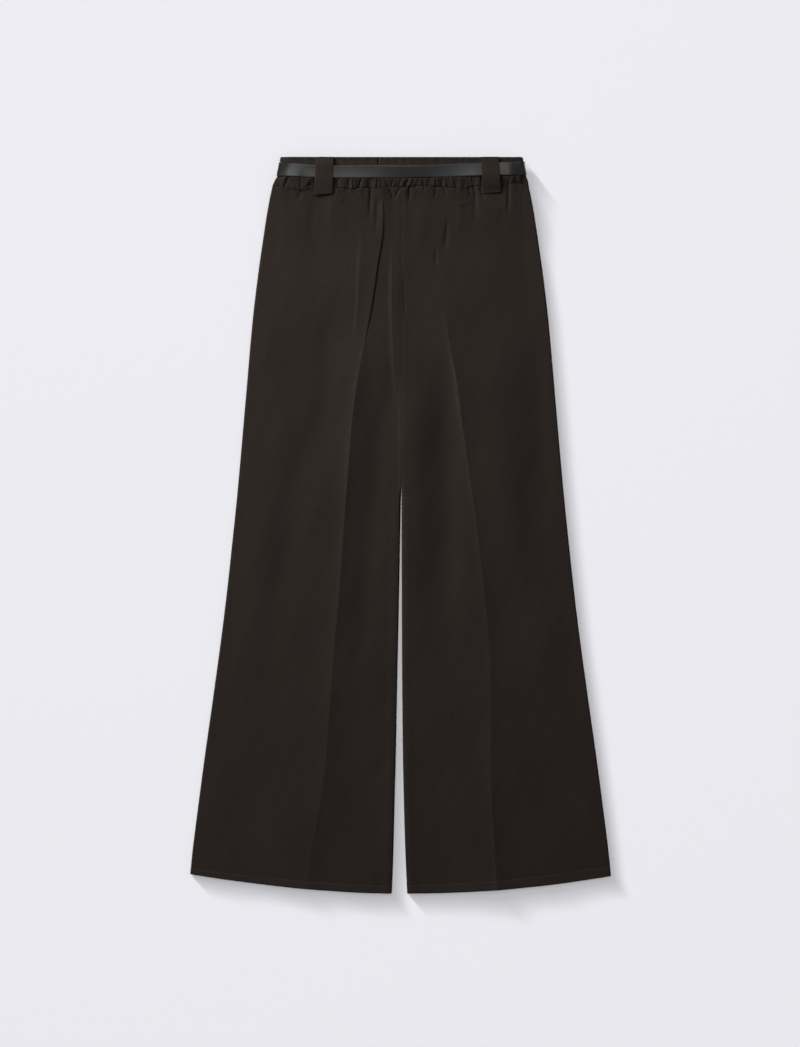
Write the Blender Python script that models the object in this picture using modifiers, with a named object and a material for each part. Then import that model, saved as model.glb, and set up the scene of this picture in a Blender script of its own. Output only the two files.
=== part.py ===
"""Flared trousers laid flat, back uppermost, with their own narrow belt.

Metres, +Z up. The trousers lie on the plane z = 0 with the waist towards +Y, and the
origin is the middle of the laid garment, on that plane. "Left" and "right" are the sides
of the wearer, whose back faces up, so left is -X.

Each leg is a flattened tube of two cloth walls: a front panel that rests on the plane and
a back panel on top of it. Every point of the cloth is placed by its drop, the distance
down from the waist's top edge, and by its place across the leg.
"""

from collections import namedtuple

import bmesh
import bpy
import numpy as np

MM = 0.001
QUARTER_TURN = np.pi / 2

# Driving sizes of the whole garment
LENGTH = 1060 * MM  # waist's top edge to the lowest point of the hem
TOP_Y = LENGTH / 2
BAND_HEIGHT = 42 * MM
CROTCH_DROP = 310 * MM
HEM_RISE = 28 * MM  # how far the hem's outer corner lies above its inner corner
HEM_RISE_POWER = 1.7
HEM_RISE_STARTS = 600 * MM

# Thicknesses
STACK = 5.2 * MM  # the flattened tube, outside to outside
CLOTH = 1.2 * MM
BAND_CLOTH = 2.0 * MM
LOOP_CLOTH = 1.0 * MM
SEAM = 0.3 * MM  # space between two pieces that meet
WAIST_LIFT = 4.2 * MM  # the belt and its buckle hold the waist this far off the plane
LIFT_ENDS = 140 * MM

# The rolled edge of a panel, where its side of the tube turns over
EDGE_TAIL = 0.35 * MM
EDGE_RADIUS = STACK / 2 - SEAM / 2 - EDGE_TAIL
EDGE_ARC = EDGE_RADIUS * QUARTER_TURN
EDGE_SOFTENING = 25 * MM  # folds fade out this far from a rolled edge
CROTCH_BLEND = (-20 * MM, 40 * MM)  # the centre seam turns into the inside leg seams

# Belt and buckle
BELT_WIDTH = 18 * MM
BELT_THICKNESS = 1.4 * MM
BELT_GAP = 4 * MM  # between the two ends of the strap, behind the buckle
BELT_SQUEEZE = 1.8 * MM  # how far the belt draws each side of the waist in
BELT_FRONT_DROP = 16 * MM
BUCKLE_WIDTH = 34 * MM
BUCKLE_HEIGHT = 23 * MM
BUCKLE_THICKNESS = 2.0 * MM
BUCKLE_CORNER = 3 * MM
STUD_RADIUS = 1.6 * MM
STUD_PLACES = (-9 * MM, 9 * MM)
ROUND_SIDES = 16

# One row for each section of the garment, in millimetres: the drop, half the outline's
# width, half the gap between the legs, and the place and height of each back crease.
Section = namedtuple(
    "Section", "drop half_width half_gap left_crease right_crease left_height right_height"
)
SECTIONS = (
    Section(0, 174.0, 0.15, -26, 50, 1.5, 0.0),
    Section(60, 188.0, 0.15, -26, 53, 2.5, 0.2),
    Section(130, 199.5, 0.15, -30, 57, 4.4, 0.6),
    Section(205, 209.5, 0.15, -42, 62, 4.6, 1.4),
    Section(345, 222.5, 0.15, -71, 81, 5.0, 4.0),
    Section(470, 233.5, 0.30, -81, 102, 5.0, 5.0),
    Section(640, 251.5, 2.10, -93, 123, 4.6, 4.8),
    Section(850, 280.0, 5.00, -110, 132, 4.2, 4.2),
    Section(1032, 302.5, 10.5, -129, 139, 3.2, 3.2),
    Section(1060, 304.5, 12.0, -132, 140, 3.0, 3.0),
)

# One row for each large soft fold below the back waistband, in millimetres: where it
# starts and ends, how wide it is, and its height above the cloth (below it if negative).
Fold = namedtuple("Fold", "x_top drop_top x_low drop_low width height")
FOLDS = (
    Fold(-150, 42, -153, 92, 10, -1.2),
    Fold(-127, 60, -127, 150, 12, -1.2),
    Fold(-62, 100, -60, 235, 9, 1.4),
    Fold(-44, 42, -43, 105, 8, -1.3),
    Fold(-17, 90, -10, 290, 9, 1.6),
    Fold(6, 90, 6, 240, 8, -0.8),
    Fold(64, 95, 52, 180, 10, -1.2),
    Fold(104, 42, 106, 110, 10, -1.3),
    Fold(154, 42, 154, 95, 9, -1.1),
)
FOLD_GROWS = 0.5  # shares of a fold's length over which it grows, and where it fades
FOLD_FADES = 0.4

# Slopes of a pressed crease: how fast it falls away to the left and to the right
CREASE_LEFT_REACH = 28 * MM
CREASE_RIGHT_REACH = 14 * MM
OVERLAP_REACH = 4 * MM  # steeper where the left crease tucks over, near the waist
OVERLAP_DROPS = (70 * MM, 150 * MM, 230 * MM)

# Gathers of the elastic band, and the wider ones that run from it into the legs
BAND_GATHER_PITCH = 14 * MM
BAND_GATHER = 0.7 * MM
BAND_GATHER_TOP = 0.55  # share of that height at the waist's top edge
BAND_GATHER_FRONT = 0.25  # and on the front, which lies on the belt
BAND_SIDE_PLAIN = (3 * MM, 14 * MM)  # the gathers die out towards each side
LEG_GATHER_PITCH = 36 * MM
LEG_GATHER = 0.9 * MM
LEG_GATHER_REACH = 35 * MM
FRONT_GATHER = 0.5  # share of that height on the front
BAND_SEAM_X = -32 * MM  # where the two ends of the waistband meet, at the back
BAND_DROPS = (BAND_HEIGHT - SEAM / 2, 34 * MM, 27 * MM, 8 * MM, 0)

# How far outside the waistband the belt lies, and its middle line: the drop at points
# across the back, in millimetres
BELT_OUT_BACK = BAND_GATHER + SEAM
BELT_OUT_FRONT = BAND_GATHER * BAND_GATHER_FRONT + SEAM
Sag = namedtuple("Sag", "x drop")
BELT_SAG = (Sag(-178, 17.5), Sag(-110, 19.0), Sag(10, 20.5), Sag(129, 16.0), Sag(178, 14.0))

# One row for each belt loop, in millimetres: its middle and its width at each end, how
# far it reaches down from the waist's top edge, and whether it is at the back.
Loop = namedtuple("Loop", "name x_top x_low width_top width_low length at_back")
LOOPS = (
    Loop("loop_back_left", -110, -110, 25, 25, 53, True),
    Loop("loop_back_right", 128, 131, 25, 27, 51, True),
    Loop("loop_front_left", -105, -105, 25, 25, 52, False),
    Loop("loop_front_right", 105, 105, 25, 25, 52, False),
)
LOOP_SLACK = 1.2 * MM
LOOP_REST = 0.5 * MM  # room between a loop's lower end and the leg's cloth under it

# Where the rows and columns of each panel lie: drops in millimetres, and shares of the
# way from the inner edge to the crease, and from the crease to the outer edge
BACK_DROPS = (
    (42.15, 54, 68, 85, 105, 130, 160, 195, 235, 275)
    + (303, 320, 335, 350, 400, 470, 560, 650, 750, 850, 950, 1035, 1060)
)
FRONT_DROPS = (42.15, 54, 68, 85, 105, 130, 160, 303, 320, 335, 350, 560, 850, 950, 1060)
BACK_INNER = (0, 0.25, 0.5, 0.7, 0.85, 0.94, 1)
BACK_OUTER = (0.03, 0.08, 0.14, 0.21, 0.29, 0.37, 0.45, 0.53, 0.61, 0.69, 0.77, 0.85, 0.93, 1)
FRONT_INNER = (0, 0.33, 0.66, 1)
FRONT_OUTER = (0.2, 0.4, 0.6, 0.8, 1)

CLOTH_COLOUR = (0.024, 0.019, 0.0165, 1)
BELT_COLOUR = (0.030, 0.031, 0.030, 1)
BUCKLE_COLOUR = (0.16, 0.16, 0.165, 1)


# ---------------------------------------------------------------- shape in numbers


def smooth_curve(at, places, values):
    """A smooth curve through the given values, its slopes taken from their neighbours."""
    places, values = np.asarray(places, float), np.asarray(values, float)
    slopes = np.gradient(values, places)
    i = np.clip(np.searchsorted(places, at, side="right") - 1, 0, len(places) - 2)
    span = places[i + 1] - places[i]
    t = np.clip((at - places[i]) / span, 0, 1)
    return (
        (2 * t**3 - 3 * t**2 + 1) * values[i]
        + (t**3 - 2 * t**2 + t) * span * slopes[i]
        + (3 * t**2 - 2 * t**3) * values[i + 1]
        + (t**3 - t**2) * span * slopes[i + 1]
    )


def ramp(at, start, end):
    """0 before start, 1 after end, and a smooth step between them."""
    t = np.clip((at - start) / (end - start), 0, 1)
    return t * t * (3 - 2 * t)


def section(column, drop):
    """One column of SECTIONS at any drop, in metres."""
    drops = [row.drop * MM for row in SECTIONS]
    return smooth_curve(drop, drops, [getattr(row, column) * MM for row in SECTIONS])


def lift(drop):
    """How far the tube is raised off the plane by the belt under it."""
    return WAIST_LIFT * (1 - ramp(drop, BAND_HEIGHT, LIFT_ENDS))


def hem_rise(drop):
    """How far the outer edge is drawn up, growing towards the hem."""
    return HEM_RISE * ramp(drop, HEM_RISE_STARTS, LENGTH) ** 2


def gathers(x, pitch):
    """Uneven waves across the cloth, between -1 and 1."""
    bend = 1.4 * np.sin(2 * np.pi * x / (6.3 * pitch) + 0.7)
    strength = 0.8 + 0.2 * np.sin(2 * np.pi * x / (3.1 * pitch) + 2.0)
    return strength * np.sin(2 * np.pi * x / pitch + bend)


def crease_relief(name, x, drop):
    """The pressed crease of one back leg: a ridge with a sharp top and hollow flanks."""
    away = x - section(name + "_crease", drop)
    right_reach = CREASE_RIGHT_REACH
    if name == "left":
        start, middle, end = OVERLAP_DROPS
        tucked = ramp(drop, start, middle) * (1 - ramp(drop, middle, end))
        right_reach = CREASE_RIGHT_REACH + tucked * (OVERLAP_REACH - CREASE_RIGHT_REACH)
    reach = np.where(away < 0, CREASE_LEFT_REACH, right_reach)
    return section(name + "_height", drop) * np.exp(-np.abs(away) / reach)


def fold_relief(fold, x, drop):
    """One soft fold: a rounded ridge or trough that runs down the cloth and fades."""
    top, low = fold.drop_top * MM, fold.drop_low * MM
    t = np.clip((drop - top) / (low - top), 0, 1)
    middle = (fold.x_top + t * (fold.x_low - fold.x_top)) * MM
    grown = 1.0 if top <= BAND_HEIGHT else ramp(t, 0, FOLD_GROWS)
    strength = fold.height * MM * grown * (1 - ramp(t, FOLD_FADES, 1))
    return strength * np.exp(-(((x - middle) / (fold.width * MM)) ** 2))


def leg_gathers(x, drop):
    """The waves that run down from the elastic band and die out."""
    height = LEG_GATHER * np.exp(-(drop - BAND_HEIGHT) / LEG_GATHER_REACH)
    return height * gathers(x, LEG_GATHER_PITCH)


def back_relief(x, drop):
    """How far the upper cloth stands above the flat tube."""
    folds = sum(fold_relief(fold, x, drop) for fold in FOLDS)
    creases = crease_relief("left", x, drop) + crease_relief("right", x, drop)
    return creases + folds + leg_gathers(x, drop)


def front_relief(x, drop):
    """The lower cloth is flat where it rests, and gathered only where it is lifted."""
    share = FRONT_GATHER * lift(drop) / WAIST_LIFT
    return share * leg_gathers(x + LEG_GATHER_PITCH / 2, drop)


def rolled_edge(angle):
    """(run, fall) of the four stations along a rolled edge that turns by an angle."""
    angle = np.maximum(angle, 1e-4)
    shares = np.array([1 / 3, 2 / 3, 1])
    run = EDGE_ARC * np.sin(angle * shares) / angle
    fall = EDGE_ARC * (1 - np.cos(angle * shares)) / angle
    run = np.hstack([run, run[:, -1:] + EDGE_TAIL * np.cos(angle)])
    fall = np.hstack([fall, fall[:, -1:] + EDGE_TAIL * np.sin(angle)])
    return run, fall


def leg_panel(side, at_back, drops, inner_shares, outer_shares):
    """Points of one leg panel's outer face, as rows (hem first) of columns (inner first).

    Across, a panel is an inner rolled edge, a field up to the crease, a field beyond it
    and an outer rolled edge. The inner edge stays level above the crotch, where it is
    the centre seam, and rolls over below it, where it is the inside leg seam.
    """
    drop = np.array(drops)[::-1, None] * MM
    blend_start, blend_end = (CROTCH_DROP + step for step in CROTCH_BLEND)
    inner_angle = QUARTER_TURN * ramp(drop, blend_start, blend_end)
    inner_run, inner_fall = rolled_edge(inner_angle)
    outer_run, outer_fall = rolled_edge(np.full_like(drop, QUARTER_TURN))
    inner_edge = section("half_gap", drop)
    outer_edge = section("half_width", drop - hem_rise(drop))
    inner_start = inner_edge + inner_run[:, -1:]
    outer_start = outer_edge - outer_run[:, -1:]
    crease = side * section("left_crease" if side < 0 else "right_crease", drop)
    inner_field = inner_start + np.array(inner_shares) * (crease - inner_start)
    outer_field = crease + np.array(outer_shares) * (outer_start - crease)
    across = np.hstack(
        [(inner_start - inner_run)[:, ::-1], inner_field, outer_field, outer_start + outer_run]
    )
    fall = np.hstack([inner_fall[:, ::-1], 0 * inner_field, 0 * outer_field, outer_fall])

    x = side * across
    share_from_outer = (outer_edge - across) / (outer_edge - inner_edge)
    real_drop = drop - hem_rise(drop) * (1 - share_from_outer) ** HEM_RISE_POWER
    rolled = inner_angle / QUARTER_TURN
    near_inner = rolled * (1 - ramp(across, inner_start, inner_start + EDGE_SOFTENING))
    clear = ramp(outer_start - across, 0, EDGE_SOFTENING) * (1 - near_inner)
    if at_back:
        z = STACK + lift(drop) - fall + clear * back_relief(x, drop)
    else:
        z = lift(drop) + fall - clear * front_relief(x, drop)
    return np.stack([x, TOP_Y - real_drop, z], axis=-1)


def waist_straight(drop):
    """Half the straight stretch of the flattened waist, drawn in where the belt runs."""
    first, last = BAND_DROPS[3], BAND_DROPS[2]
    squeezed = ramp(drop, 0, first) * (1 - ramp(drop, last, BAND_HEIGHT))
    return section("half_width", drop) - BELT_SQUEEZE * squeezed - STACK / 2


def ring_point(quarter, drop, out_back, out_front):
    """Points round the flattened waist: back left to right, right side, front, left side.

    quarter runs from 0 to 4, one unit for each of those four stretches. out_back and
    out_front are how far outside the waistband the point lies on those two sides.
    """
    radius = STACK / 2
    straight = waist_straight(drop)
    quarter = np.mod(quarter, 4)
    part = np.floor(quarter)
    t = quarter - part
    on_part = [part == 0, part == 1, part == 2]
    angle = np.select(
        on_part,
        [QUARTER_TURN + 0 * t, QUARTER_TURN - np.pi * t, -QUARTER_TURN + 0 * t],
        -QUARTER_TURN - np.pi * t,
    )
    centre = np.select(
        on_part, [(2 * t - 1) * straight, straight, (1 - 2 * t) * straight], -straight
    )
    out = out_front + (out_back - out_front) * (1 + np.sin(angle)) / 2
    x = centre + (radius + out) * np.cos(angle)
    z = WAIST_LIFT + radius + (radius + out) * np.sin(angle)
    return np.stack(np.broadcast_arrays(x, TOP_Y - drop, z), axis=-1)


def ring_stretch(counts, start, end):
    """Values from start to end, evenly spread over each quarter's share of points."""
    marks = [start] + [m for m in range(1, 9) if start < m < end] + [end]
    values = []
    for low, high in zip(marks[:-1], marks[1:]):
        count = max(2, round(counts[int(low) % 4] * (high - low)))
        values.append(np.linspace(low, high, count + 1)[:-1])
    return np.append(np.concatenate(values), end)


def belt_drop(x):
    """The drop of the belt's middle line at a place across the back."""
    return smooth_curve(x, [s.x * MM for s in BELT_SAG], [s.drop * MM for s in BELT_SAG])


# ---------------------------------------------------------------- Blender objects


def clear_scene():
    for obj in list(bpy.data.objects):
        bpy.data.objects.remove(obj, do_unlink=True)


def collection_named(name):
    collection = bpy.data.collections.new(name)
    bpy.context.scene.collection.children.link(collection)
    return collection


def material_named(name, colour, roughness, metallic=0.0):
    material = bpy.data.materials.new(name)
    material.use_nodes = True
    shader = material.node_tree.nodes["Principled BSDF"]
    shader.inputs["Base Color"].default_value = colour
    shader.inputs["Roughness"].default_value = roughness
    shader.inputs["Metallic"].default_value = metallic
    return material


def object_from(shape, name, collection, material):
    """A new object that holds the finished bmesh."""
    mesh = bpy.data.meshes.new(name)
    shape.to_mesh(mesh)
    shape.free()
    mesh.materials.append(material)
    obj = bpy.data.objects.new(name, mesh)
    collection.objects.link(obj)
    return obj


def sheet_of_points(name, points, thickness, collection, material):
    """A grid primitive moved to the given points, given a wall by Solidify.

    points is rows by columns, seen from outside with rows going up and columns going
    right. A positive thickness grows inwards, a negative one outwards.
    """
    rows, columns = points.shape[:2]
    shape = bmesh.new()
    bmesh.ops.create_grid(shape, x_segments=columns - 1, y_segments=rows - 1, size=1.0)
    for vert in shape.verts:
        column = round((vert.co.x + 1) / 2 * (columns - 1))
        row = round((vert.co.y + 1) / 2 * (rows - 1))
        vert.co = points[row, column]
    obj = object_from(shape, name, collection, material)
    obj.data.shade_smooth()
    wall = obj.modifiers.new("wall", "SOLIDIFY")
    wall.thickness = abs(thickness)
    wall.offset = -1.0 if thickness > 0 else 1.0
    return obj


def add_boolean(obj, name, operation, other):
    modifier = obj.modifiers.new(name, "BOOLEAN")
    modifier.operation = operation
    modifier.object = other


def post(name, radius, low, high, x, y, collection, material):
    """A round post standing between two heights, used to cut or to be joined on."""
    shape = bmesh.new()
    bmesh.ops.create_cone(
        shape, cap_ends=True, segments=ROUND_SIDES, radius1=radius, radius2=radius, depth=high - low
    )
    obj = object_from(shape, name, collection, material)
    obj.location = (x, y, (low + high) / 2)
    obj.hide_render = True
    obj.display_type = "WIRE"
    return obj


# ---------------------------------------------------------------- the garment's pieces


def make_leg(side, name, collection, material):
    """The back and the front panel of one leg."""
    back = leg_panel(side, True, BACK_DROPS, BACK_INNER, BACK_OUTER)
    front = leg_panel(side, False, FRONT_DROPS, FRONT_INNER, FRONT_OUTER)
    if side < 0:
        back = back[:, ::-1]
    else:
        front = front[:, ::-1]
    sheet_of_points("back_" + name, back, CLOTH, collection, material)
    sheet_of_points("front_" + name, front, CLOTH, collection, material)


def make_waistband(collection, material):
    """One strip of doubled cloth round the waist, gathered by the elastic inside it."""
    straight = waist_straight(BAND_HEIGHT / 2)
    seam = (BAND_SEAM_X / straight + 1) / 2
    gap = SEAM / straight / 4
    quarter = ring_stretch((70, 6, 22, 6), seam + gap, 4 + seam - gap)[None, :]
    drop = np.array(BAND_DROPS)[:, None]
    flat = ring_point(quarter, drop, 0.0, 0.0)
    from_side = section("half_width", drop) - np.abs(flat[..., 0])
    fuller = ramp(drop, BAND_DROPS[2], BAND_HEIGHT)
    height = BAND_GATHER * (BAND_GATHER_TOP + (1 - BAND_GATHER_TOP) * fuller)
    waves = height * gathers(flat[..., 0], BAND_GATHER_PITCH) * ramp(from_side, *BAND_SIDE_PLAIN)
    points = ring_point(quarter, drop, waves, BAND_GATHER_FRONT * waves)
    sheet_of_points("waistband", points, BAND_CLOTH, collection, material)


def make_belt(collection, cutters, material):
    """A flat strap round the waistband, its two ends meeting behind the buckle."""
    end = BELT_GAP / 4 / waist_straight(BELT_FRONT_DROP)
    quarter = ring_stretch((24, 6, 14, 6), 2.5 + end, 6.5 - end)[None, :]
    level = ring_point(quarter, BELT_FRONT_DROP, BELT_OUT_BACK, BELT_OUT_FRONT)
    share_back = ramp(level[..., 2], WAIST_LIFT, WAIST_LIFT + STACK)
    middle = BELT_FRONT_DROP + share_back * (belt_drop(level[..., 0]) - BELT_FRONT_DROP)
    across = np.linspace(0.5, -0.5, 3)[:, None] * BELT_WIDTH
    points = ring_point(quarter, middle + across, BELT_OUT_BACK, BELT_OUT_FRONT)
    belt = sheet_of_points("belt", points, -BELT_THICKNESS, collection, material)
    inner_face = WAIST_LIFT - BELT_OUT_FRONT
    low, high = inner_face - 2 * BELT_THICKNESS, inner_face + SEAM / 2
    for number, x in enumerate(STUD_PLACES):
        hole = post(
            f"belt_hole_{number}", STUD_RADIUS + SEAM, low, high,
            x, TOP_Y - BELT_FRONT_DROP, cutters, material,
        )
        add_boolean(belt, f"hole_{number}", "DIFFERENCE", hole)


def make_buckle(collection, cutters, material):
    """A plain plate buckle, with a stud that holds each end of the strap by its hole."""
    shape = bmesh.new()
    bmesh.ops.create_cube(shape, size=1.0)
    bmesh.ops.scale(shape, vec=(BUCKLE_WIDTH, BUCKLE_HEIGHT, BUCKLE_THICKNESS), verts=shape.verts)
    upright = [e for e in shape.edges if e.verts[0].co.z * e.verts[1].co.z < 0]
    bmesh.ops.bevel(
        shape, geom=upright, offset=BUCKLE_CORNER, segments=3, profile=0.5, affect="EDGES"
    )
    buckle = object_from(shape, "buckle", collection, material)
    y = TOP_Y - BELT_FRONT_DROP
    buckle.location = (0, y, BUCKLE_THICKNESS / 2)
    for number, x in enumerate(STUD_PLACES):
        stud = post(
            f"buckle_stud_{number}", STUD_RADIUS, BUCKLE_THICKNESS / 2, WAIST_LIFT - BELT_OUT_FRONT,
            x, y, cutters, material,
        )
        add_boolean(buckle, f"stud_{number}", "UNION", stud)


def loop_rows(loop):
    """The drops of a loop's rows, and how far outside the band its inner face lies there."""
    middle = belt_drop((loop.x_top + loop.x_low) / 2 * MM) if loop.at_back else BELT_FRONT_DROP
    top, low = middle - BELT_WIDTH / 2, middle + BELT_WIDTH / 2
    over = (BELT_OUT_BACK if loop.at_back else BELT_OUT_FRONT) + BELT_THICKNESS + SEAM
    near = BELT_OUT_BACK if loop.at_back else BELT_OUT_FRONT
    start = near + (over - near) * ramp(LOOP_SLACK * 4, 0, top)
    drops = (0, top - LOOP_SLACK, middle, low + LOOP_SLACK, low + LOOP_SLACK * 4)
    drops += (BAND_HEIGHT, loop.length * MM)
    return np.array(drops), np.array((start, over, over, over, near, near, 0))


def make_loop(loop, collection, material):
    """A strip of cloth from the waist's top edge, over the belt, and down onto the leg."""
    drop, out = (values[::-1, None] for values in loop_rows(loop))
    share = drop / (loop.length * MM)
    middle = (loop.x_top + share * (loop.x_low - loop.x_top)) * MM
    width = (loop.width_top + share * (loop.width_low - loop.width_top)) * MM
    across = np.linspace(-0.5, 0.5, 4) * (1 if loop.at_back else -1)
    x = middle + across * width
    relief = back_relief(x, drop) if loop.at_back else front_relief(x, drop)
    on_leg = np.where(drop < BAND_HEIGHT, 0, relief + SEAM + LOOP_REST)
    out = np.maximum(out, on_leg)
    z = STACK + lift(drop) + out if loop.at_back else lift(drop) - out
    points = np.stack(np.broadcast_arrays(x, TOP_Y - drop, z), axis=-1)
    sheet_of_points(loop.name, points, -LOOP_CLOTH, collection, material)


def main():
    clear_scene()
    trousers = collection_named("flared_trousers")
    cutters = collection_named("cutters")
    cloth = material_named("trouser_cloth", CLOTH_COLOUR, 0.85)
    leather = material_named("belt_leather", BELT_COLOUR, 0.45)
    metal = material_named("buckle_metal", BUCKLE_COLOUR, 0.35, 1.0)
    make_leg(-1, "left", trousers, cloth)
    make_leg(1, "right", trousers, cloth)
    make_waistband(trousers, cloth)
    make_belt(trousers, cutters, leather)
    make_buckle(trousers, cutters, metal)
    for loop in LOOPS:
        make_loop(loop, trousers, cloth)


main()
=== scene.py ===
"""Flared trousers laid flat with the back uppermost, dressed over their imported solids.

Metres, +Z up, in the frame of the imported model: the trousers lie on z = 0 with the waist
towards +Y, and "left" and "right" are the wearer's sides, so left is -X. A place on the
cloth is given by x and by its drop, the distance down from the waist's top edge. Every
piece is a surface of two parameters, worked out as whole arrays and put into its mesh.
"""

from collections import namedtuple
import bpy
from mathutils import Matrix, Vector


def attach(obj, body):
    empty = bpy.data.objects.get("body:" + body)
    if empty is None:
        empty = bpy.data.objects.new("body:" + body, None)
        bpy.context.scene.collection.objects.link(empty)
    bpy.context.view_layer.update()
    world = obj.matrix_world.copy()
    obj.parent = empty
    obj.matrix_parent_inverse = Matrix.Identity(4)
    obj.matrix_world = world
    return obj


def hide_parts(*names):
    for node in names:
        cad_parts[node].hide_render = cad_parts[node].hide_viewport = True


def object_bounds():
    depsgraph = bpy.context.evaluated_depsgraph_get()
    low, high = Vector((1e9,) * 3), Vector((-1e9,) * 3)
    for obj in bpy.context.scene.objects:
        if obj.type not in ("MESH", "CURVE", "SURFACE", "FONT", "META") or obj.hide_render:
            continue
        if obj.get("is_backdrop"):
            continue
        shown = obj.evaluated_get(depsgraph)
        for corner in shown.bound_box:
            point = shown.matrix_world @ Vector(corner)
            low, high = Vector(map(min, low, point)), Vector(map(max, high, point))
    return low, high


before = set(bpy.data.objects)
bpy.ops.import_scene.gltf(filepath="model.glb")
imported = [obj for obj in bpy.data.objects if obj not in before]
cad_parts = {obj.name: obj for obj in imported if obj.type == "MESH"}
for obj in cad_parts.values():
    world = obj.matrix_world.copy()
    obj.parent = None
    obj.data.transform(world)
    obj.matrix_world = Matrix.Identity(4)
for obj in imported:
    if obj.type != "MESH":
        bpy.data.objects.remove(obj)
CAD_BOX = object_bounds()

from types import SimpleNamespace

import bmesh
import bpy
import numpy as np
from bpy.props import FloatProperty, FloatVectorProperty, PointerProperty
from mathutils import Vector

bl_info = {
    "name": "Flared Trousers",
    "version": (1, 0, 0),
    "blender": (4, 5, 0),
    "location": "3D View > Sidebar > Trousers",
    "description": "Makes the cloth, belt, buckle, loops and hem stitches of laid trousers",
    "category": "Mesh",
}

MM = 0.001
TURN = 2 * np.pi
QUARTER_TURN = np.pi / 2
SIDES = {-1: "left", 1: "right"}

# The flattened garment. A pair of drops is where a smooth step starts and ends, and a row
# of four is where one comes, is full, goes and is gone. True stands for the back.
LENGTH = 1060 * MM
TOP_Y = LENGTH / 2
BAND_HEIGHT = 42 * MM
CROTCH_DROP = 310 * MM
HEM_RISE = {-1: 28 * MM, 1: 25.2 * MM}
HEM_RISE_POWER = {-1: 1.7, 1: 2}
HEM_RISE_STARTS = 600 * MM
HEM_SHORT = 0.6 * MM
HEM_SHORT_STARTS = 900 * MM
STACK = 5.2 * MM
SEAM = 0.3 * MM
WAIST_LIFT = 4.2 * MM
LIFT_ENDS = 140 * MM
EDGE_TAIL = 0.35 * MM
EDGE_RADIUS = STACK / 2 - SEAM / 2 - EDGE_TAIL
EDGE_ARC = EDGE_RADIUS * QUARTER_TURN
EDGE_SOFTENING = 25 * MM
INSEAM_TURNS = {
    False: (CROTCH_DROP - 20 * MM, CROTCH_DROP + 40 * MM),
    True: (CROTCH_DROP + 152 * MM, CROTCH_DROP + 215 * MM),
}
SIDE_X = 176 * MM
BAND_JOIN_X = -32 * MM

# The belt, and how it draws the waist in and pulls its sides over to the right. Its ends
# meet at the front's middle, half way along the third of the waist's four stretches.
BELT_WIDTH = 18 * MM
BELT_THICKNESS = 1.4 * MM
BELT_ROUNDING = 0.45 * MM
BELT_NOSE = 0.7 * MM
BELT_END_ROWS = 0.8 * MM
BELT_STEPS = (180, 24, 120, 24)
BELT_GAP = 4 * MM
FRONT_MIDDLE = 2.5
BELT_SQUEEZE = 2.4 * MM
BELT_SQUEEZE_DROPS = (5 * MM, 10.5 * MM, 25.5 * MM, 36 * MM)
BELT_FRONT_DROP = 16 * MM
BELT_OUT_BACK = 0.55 * MM
BELT_OUT_FRONT = 0.475 * MM
WAIST_SHIFT = 1.6 * MM
WAIST_SHIFT_X = (60 * MM, 150 * MM)
WAIST_SHIFT_DROPS = (28 * MM, 44 * MM)


def table(columns, *rows):
    """The rows as tuples with named columns."""
    row = namedtuple("Row", columns)
    return [row(*values) for values in rows]


# One row for each section of the garment, in millimetres
SECTIONS = table(
    "drop half_width half_gap gap_middle",
    (0, 174, 0.03, 0.8),
    (60, 188, 0.03, 1.2),
    (130, 199.5, 0.03, 1.3),
    (205, 209.5, 0.03, 1.3),
    (345, 222.5, 0.03, 1.3),
    (450, 231.7, 0.03, 1.3),
    (472, 233.7, 0.22, 1.3),
    (492, 235.6, 0.58, 1),
    (550, 241.6, 1.2, 0.4),
    (640, 251.5, 2.15, -0.3),
    (780, 270, 3.9, -1.4),
    (850, 280, 4.9, -1.7),
    (925, 290, 6.6, -1.9),
    (1032, 302.5, 9.85, -1.6),
    (1060, 304.5, 11.2, -1.5),
)

# One row for each place along the pressed creases of the back, in millimetres
CREASES = table(
    "drop left right left_height right_height left_line right_line",
    (0, -26.5, 50, 0.3, 0, 0, 0),
    (60, -25.5, 53, 0.6, 0, 0, 0),
    (105, -25, 55, 1.1, 0.1, 0, 0),
    (150, -32, 58, 1.2, 0.2, 0, 0),
    (205, -40, 62, 1.2, 0.5, 0, 0),
    (255, -49, 68, 1.7, 1.1, 0.6, 0.7),
    (320, -61.8, 80, 2.4, 2, 1.6, 2.9),
    (378, -69.4, 87.5, 2.6, 2, 2, 2.7),
    (436, -74.4, 96, 2.8, 2.1, 2.1, 1.5),
    (520, -80.8, 108, 2.9, 2.2, 1.5, 0.8),
    (640, -89.4, 121.4, 3, 2.2, 1, 0.5),
    (700, -95, 127, 2.9, 2.2, 0.8, 0.4),
    (780, -101, 129.4, 2.7, 2.2, 0.7, 0.4),
    (900, -110.8, 129.7, 2.1, 2.3, 0.4, 0.5),
    (1024, -130.5, 136.5, 1.4, 2.4, 0.2, 0.6),
    (1060, -134, 139, 1.3, 2.4, 0.2, 0.6),
)
CREASE_REACH = (28 * MM, 22 * MM)
CREASE_TIP = 0.45 * MM
CREASE_LINE_REACH = {"left": (6 * MM, 34 * MM), "right": (3.2 * MM, 60 * MM)}
CREASE_CLEARS = 24 * MM
TUCK_DROPS = (66 * MM, 120 * MM, 198 * MM, 280 * MM)
TUCK_FALL = 1.1 * MM
TUCK_FALL_STARTS = -0.1 * TUCK_FALL
TUCK_GROOVE = (0.8 * MM, 1.3 * MM, 0.7 * MM)

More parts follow.
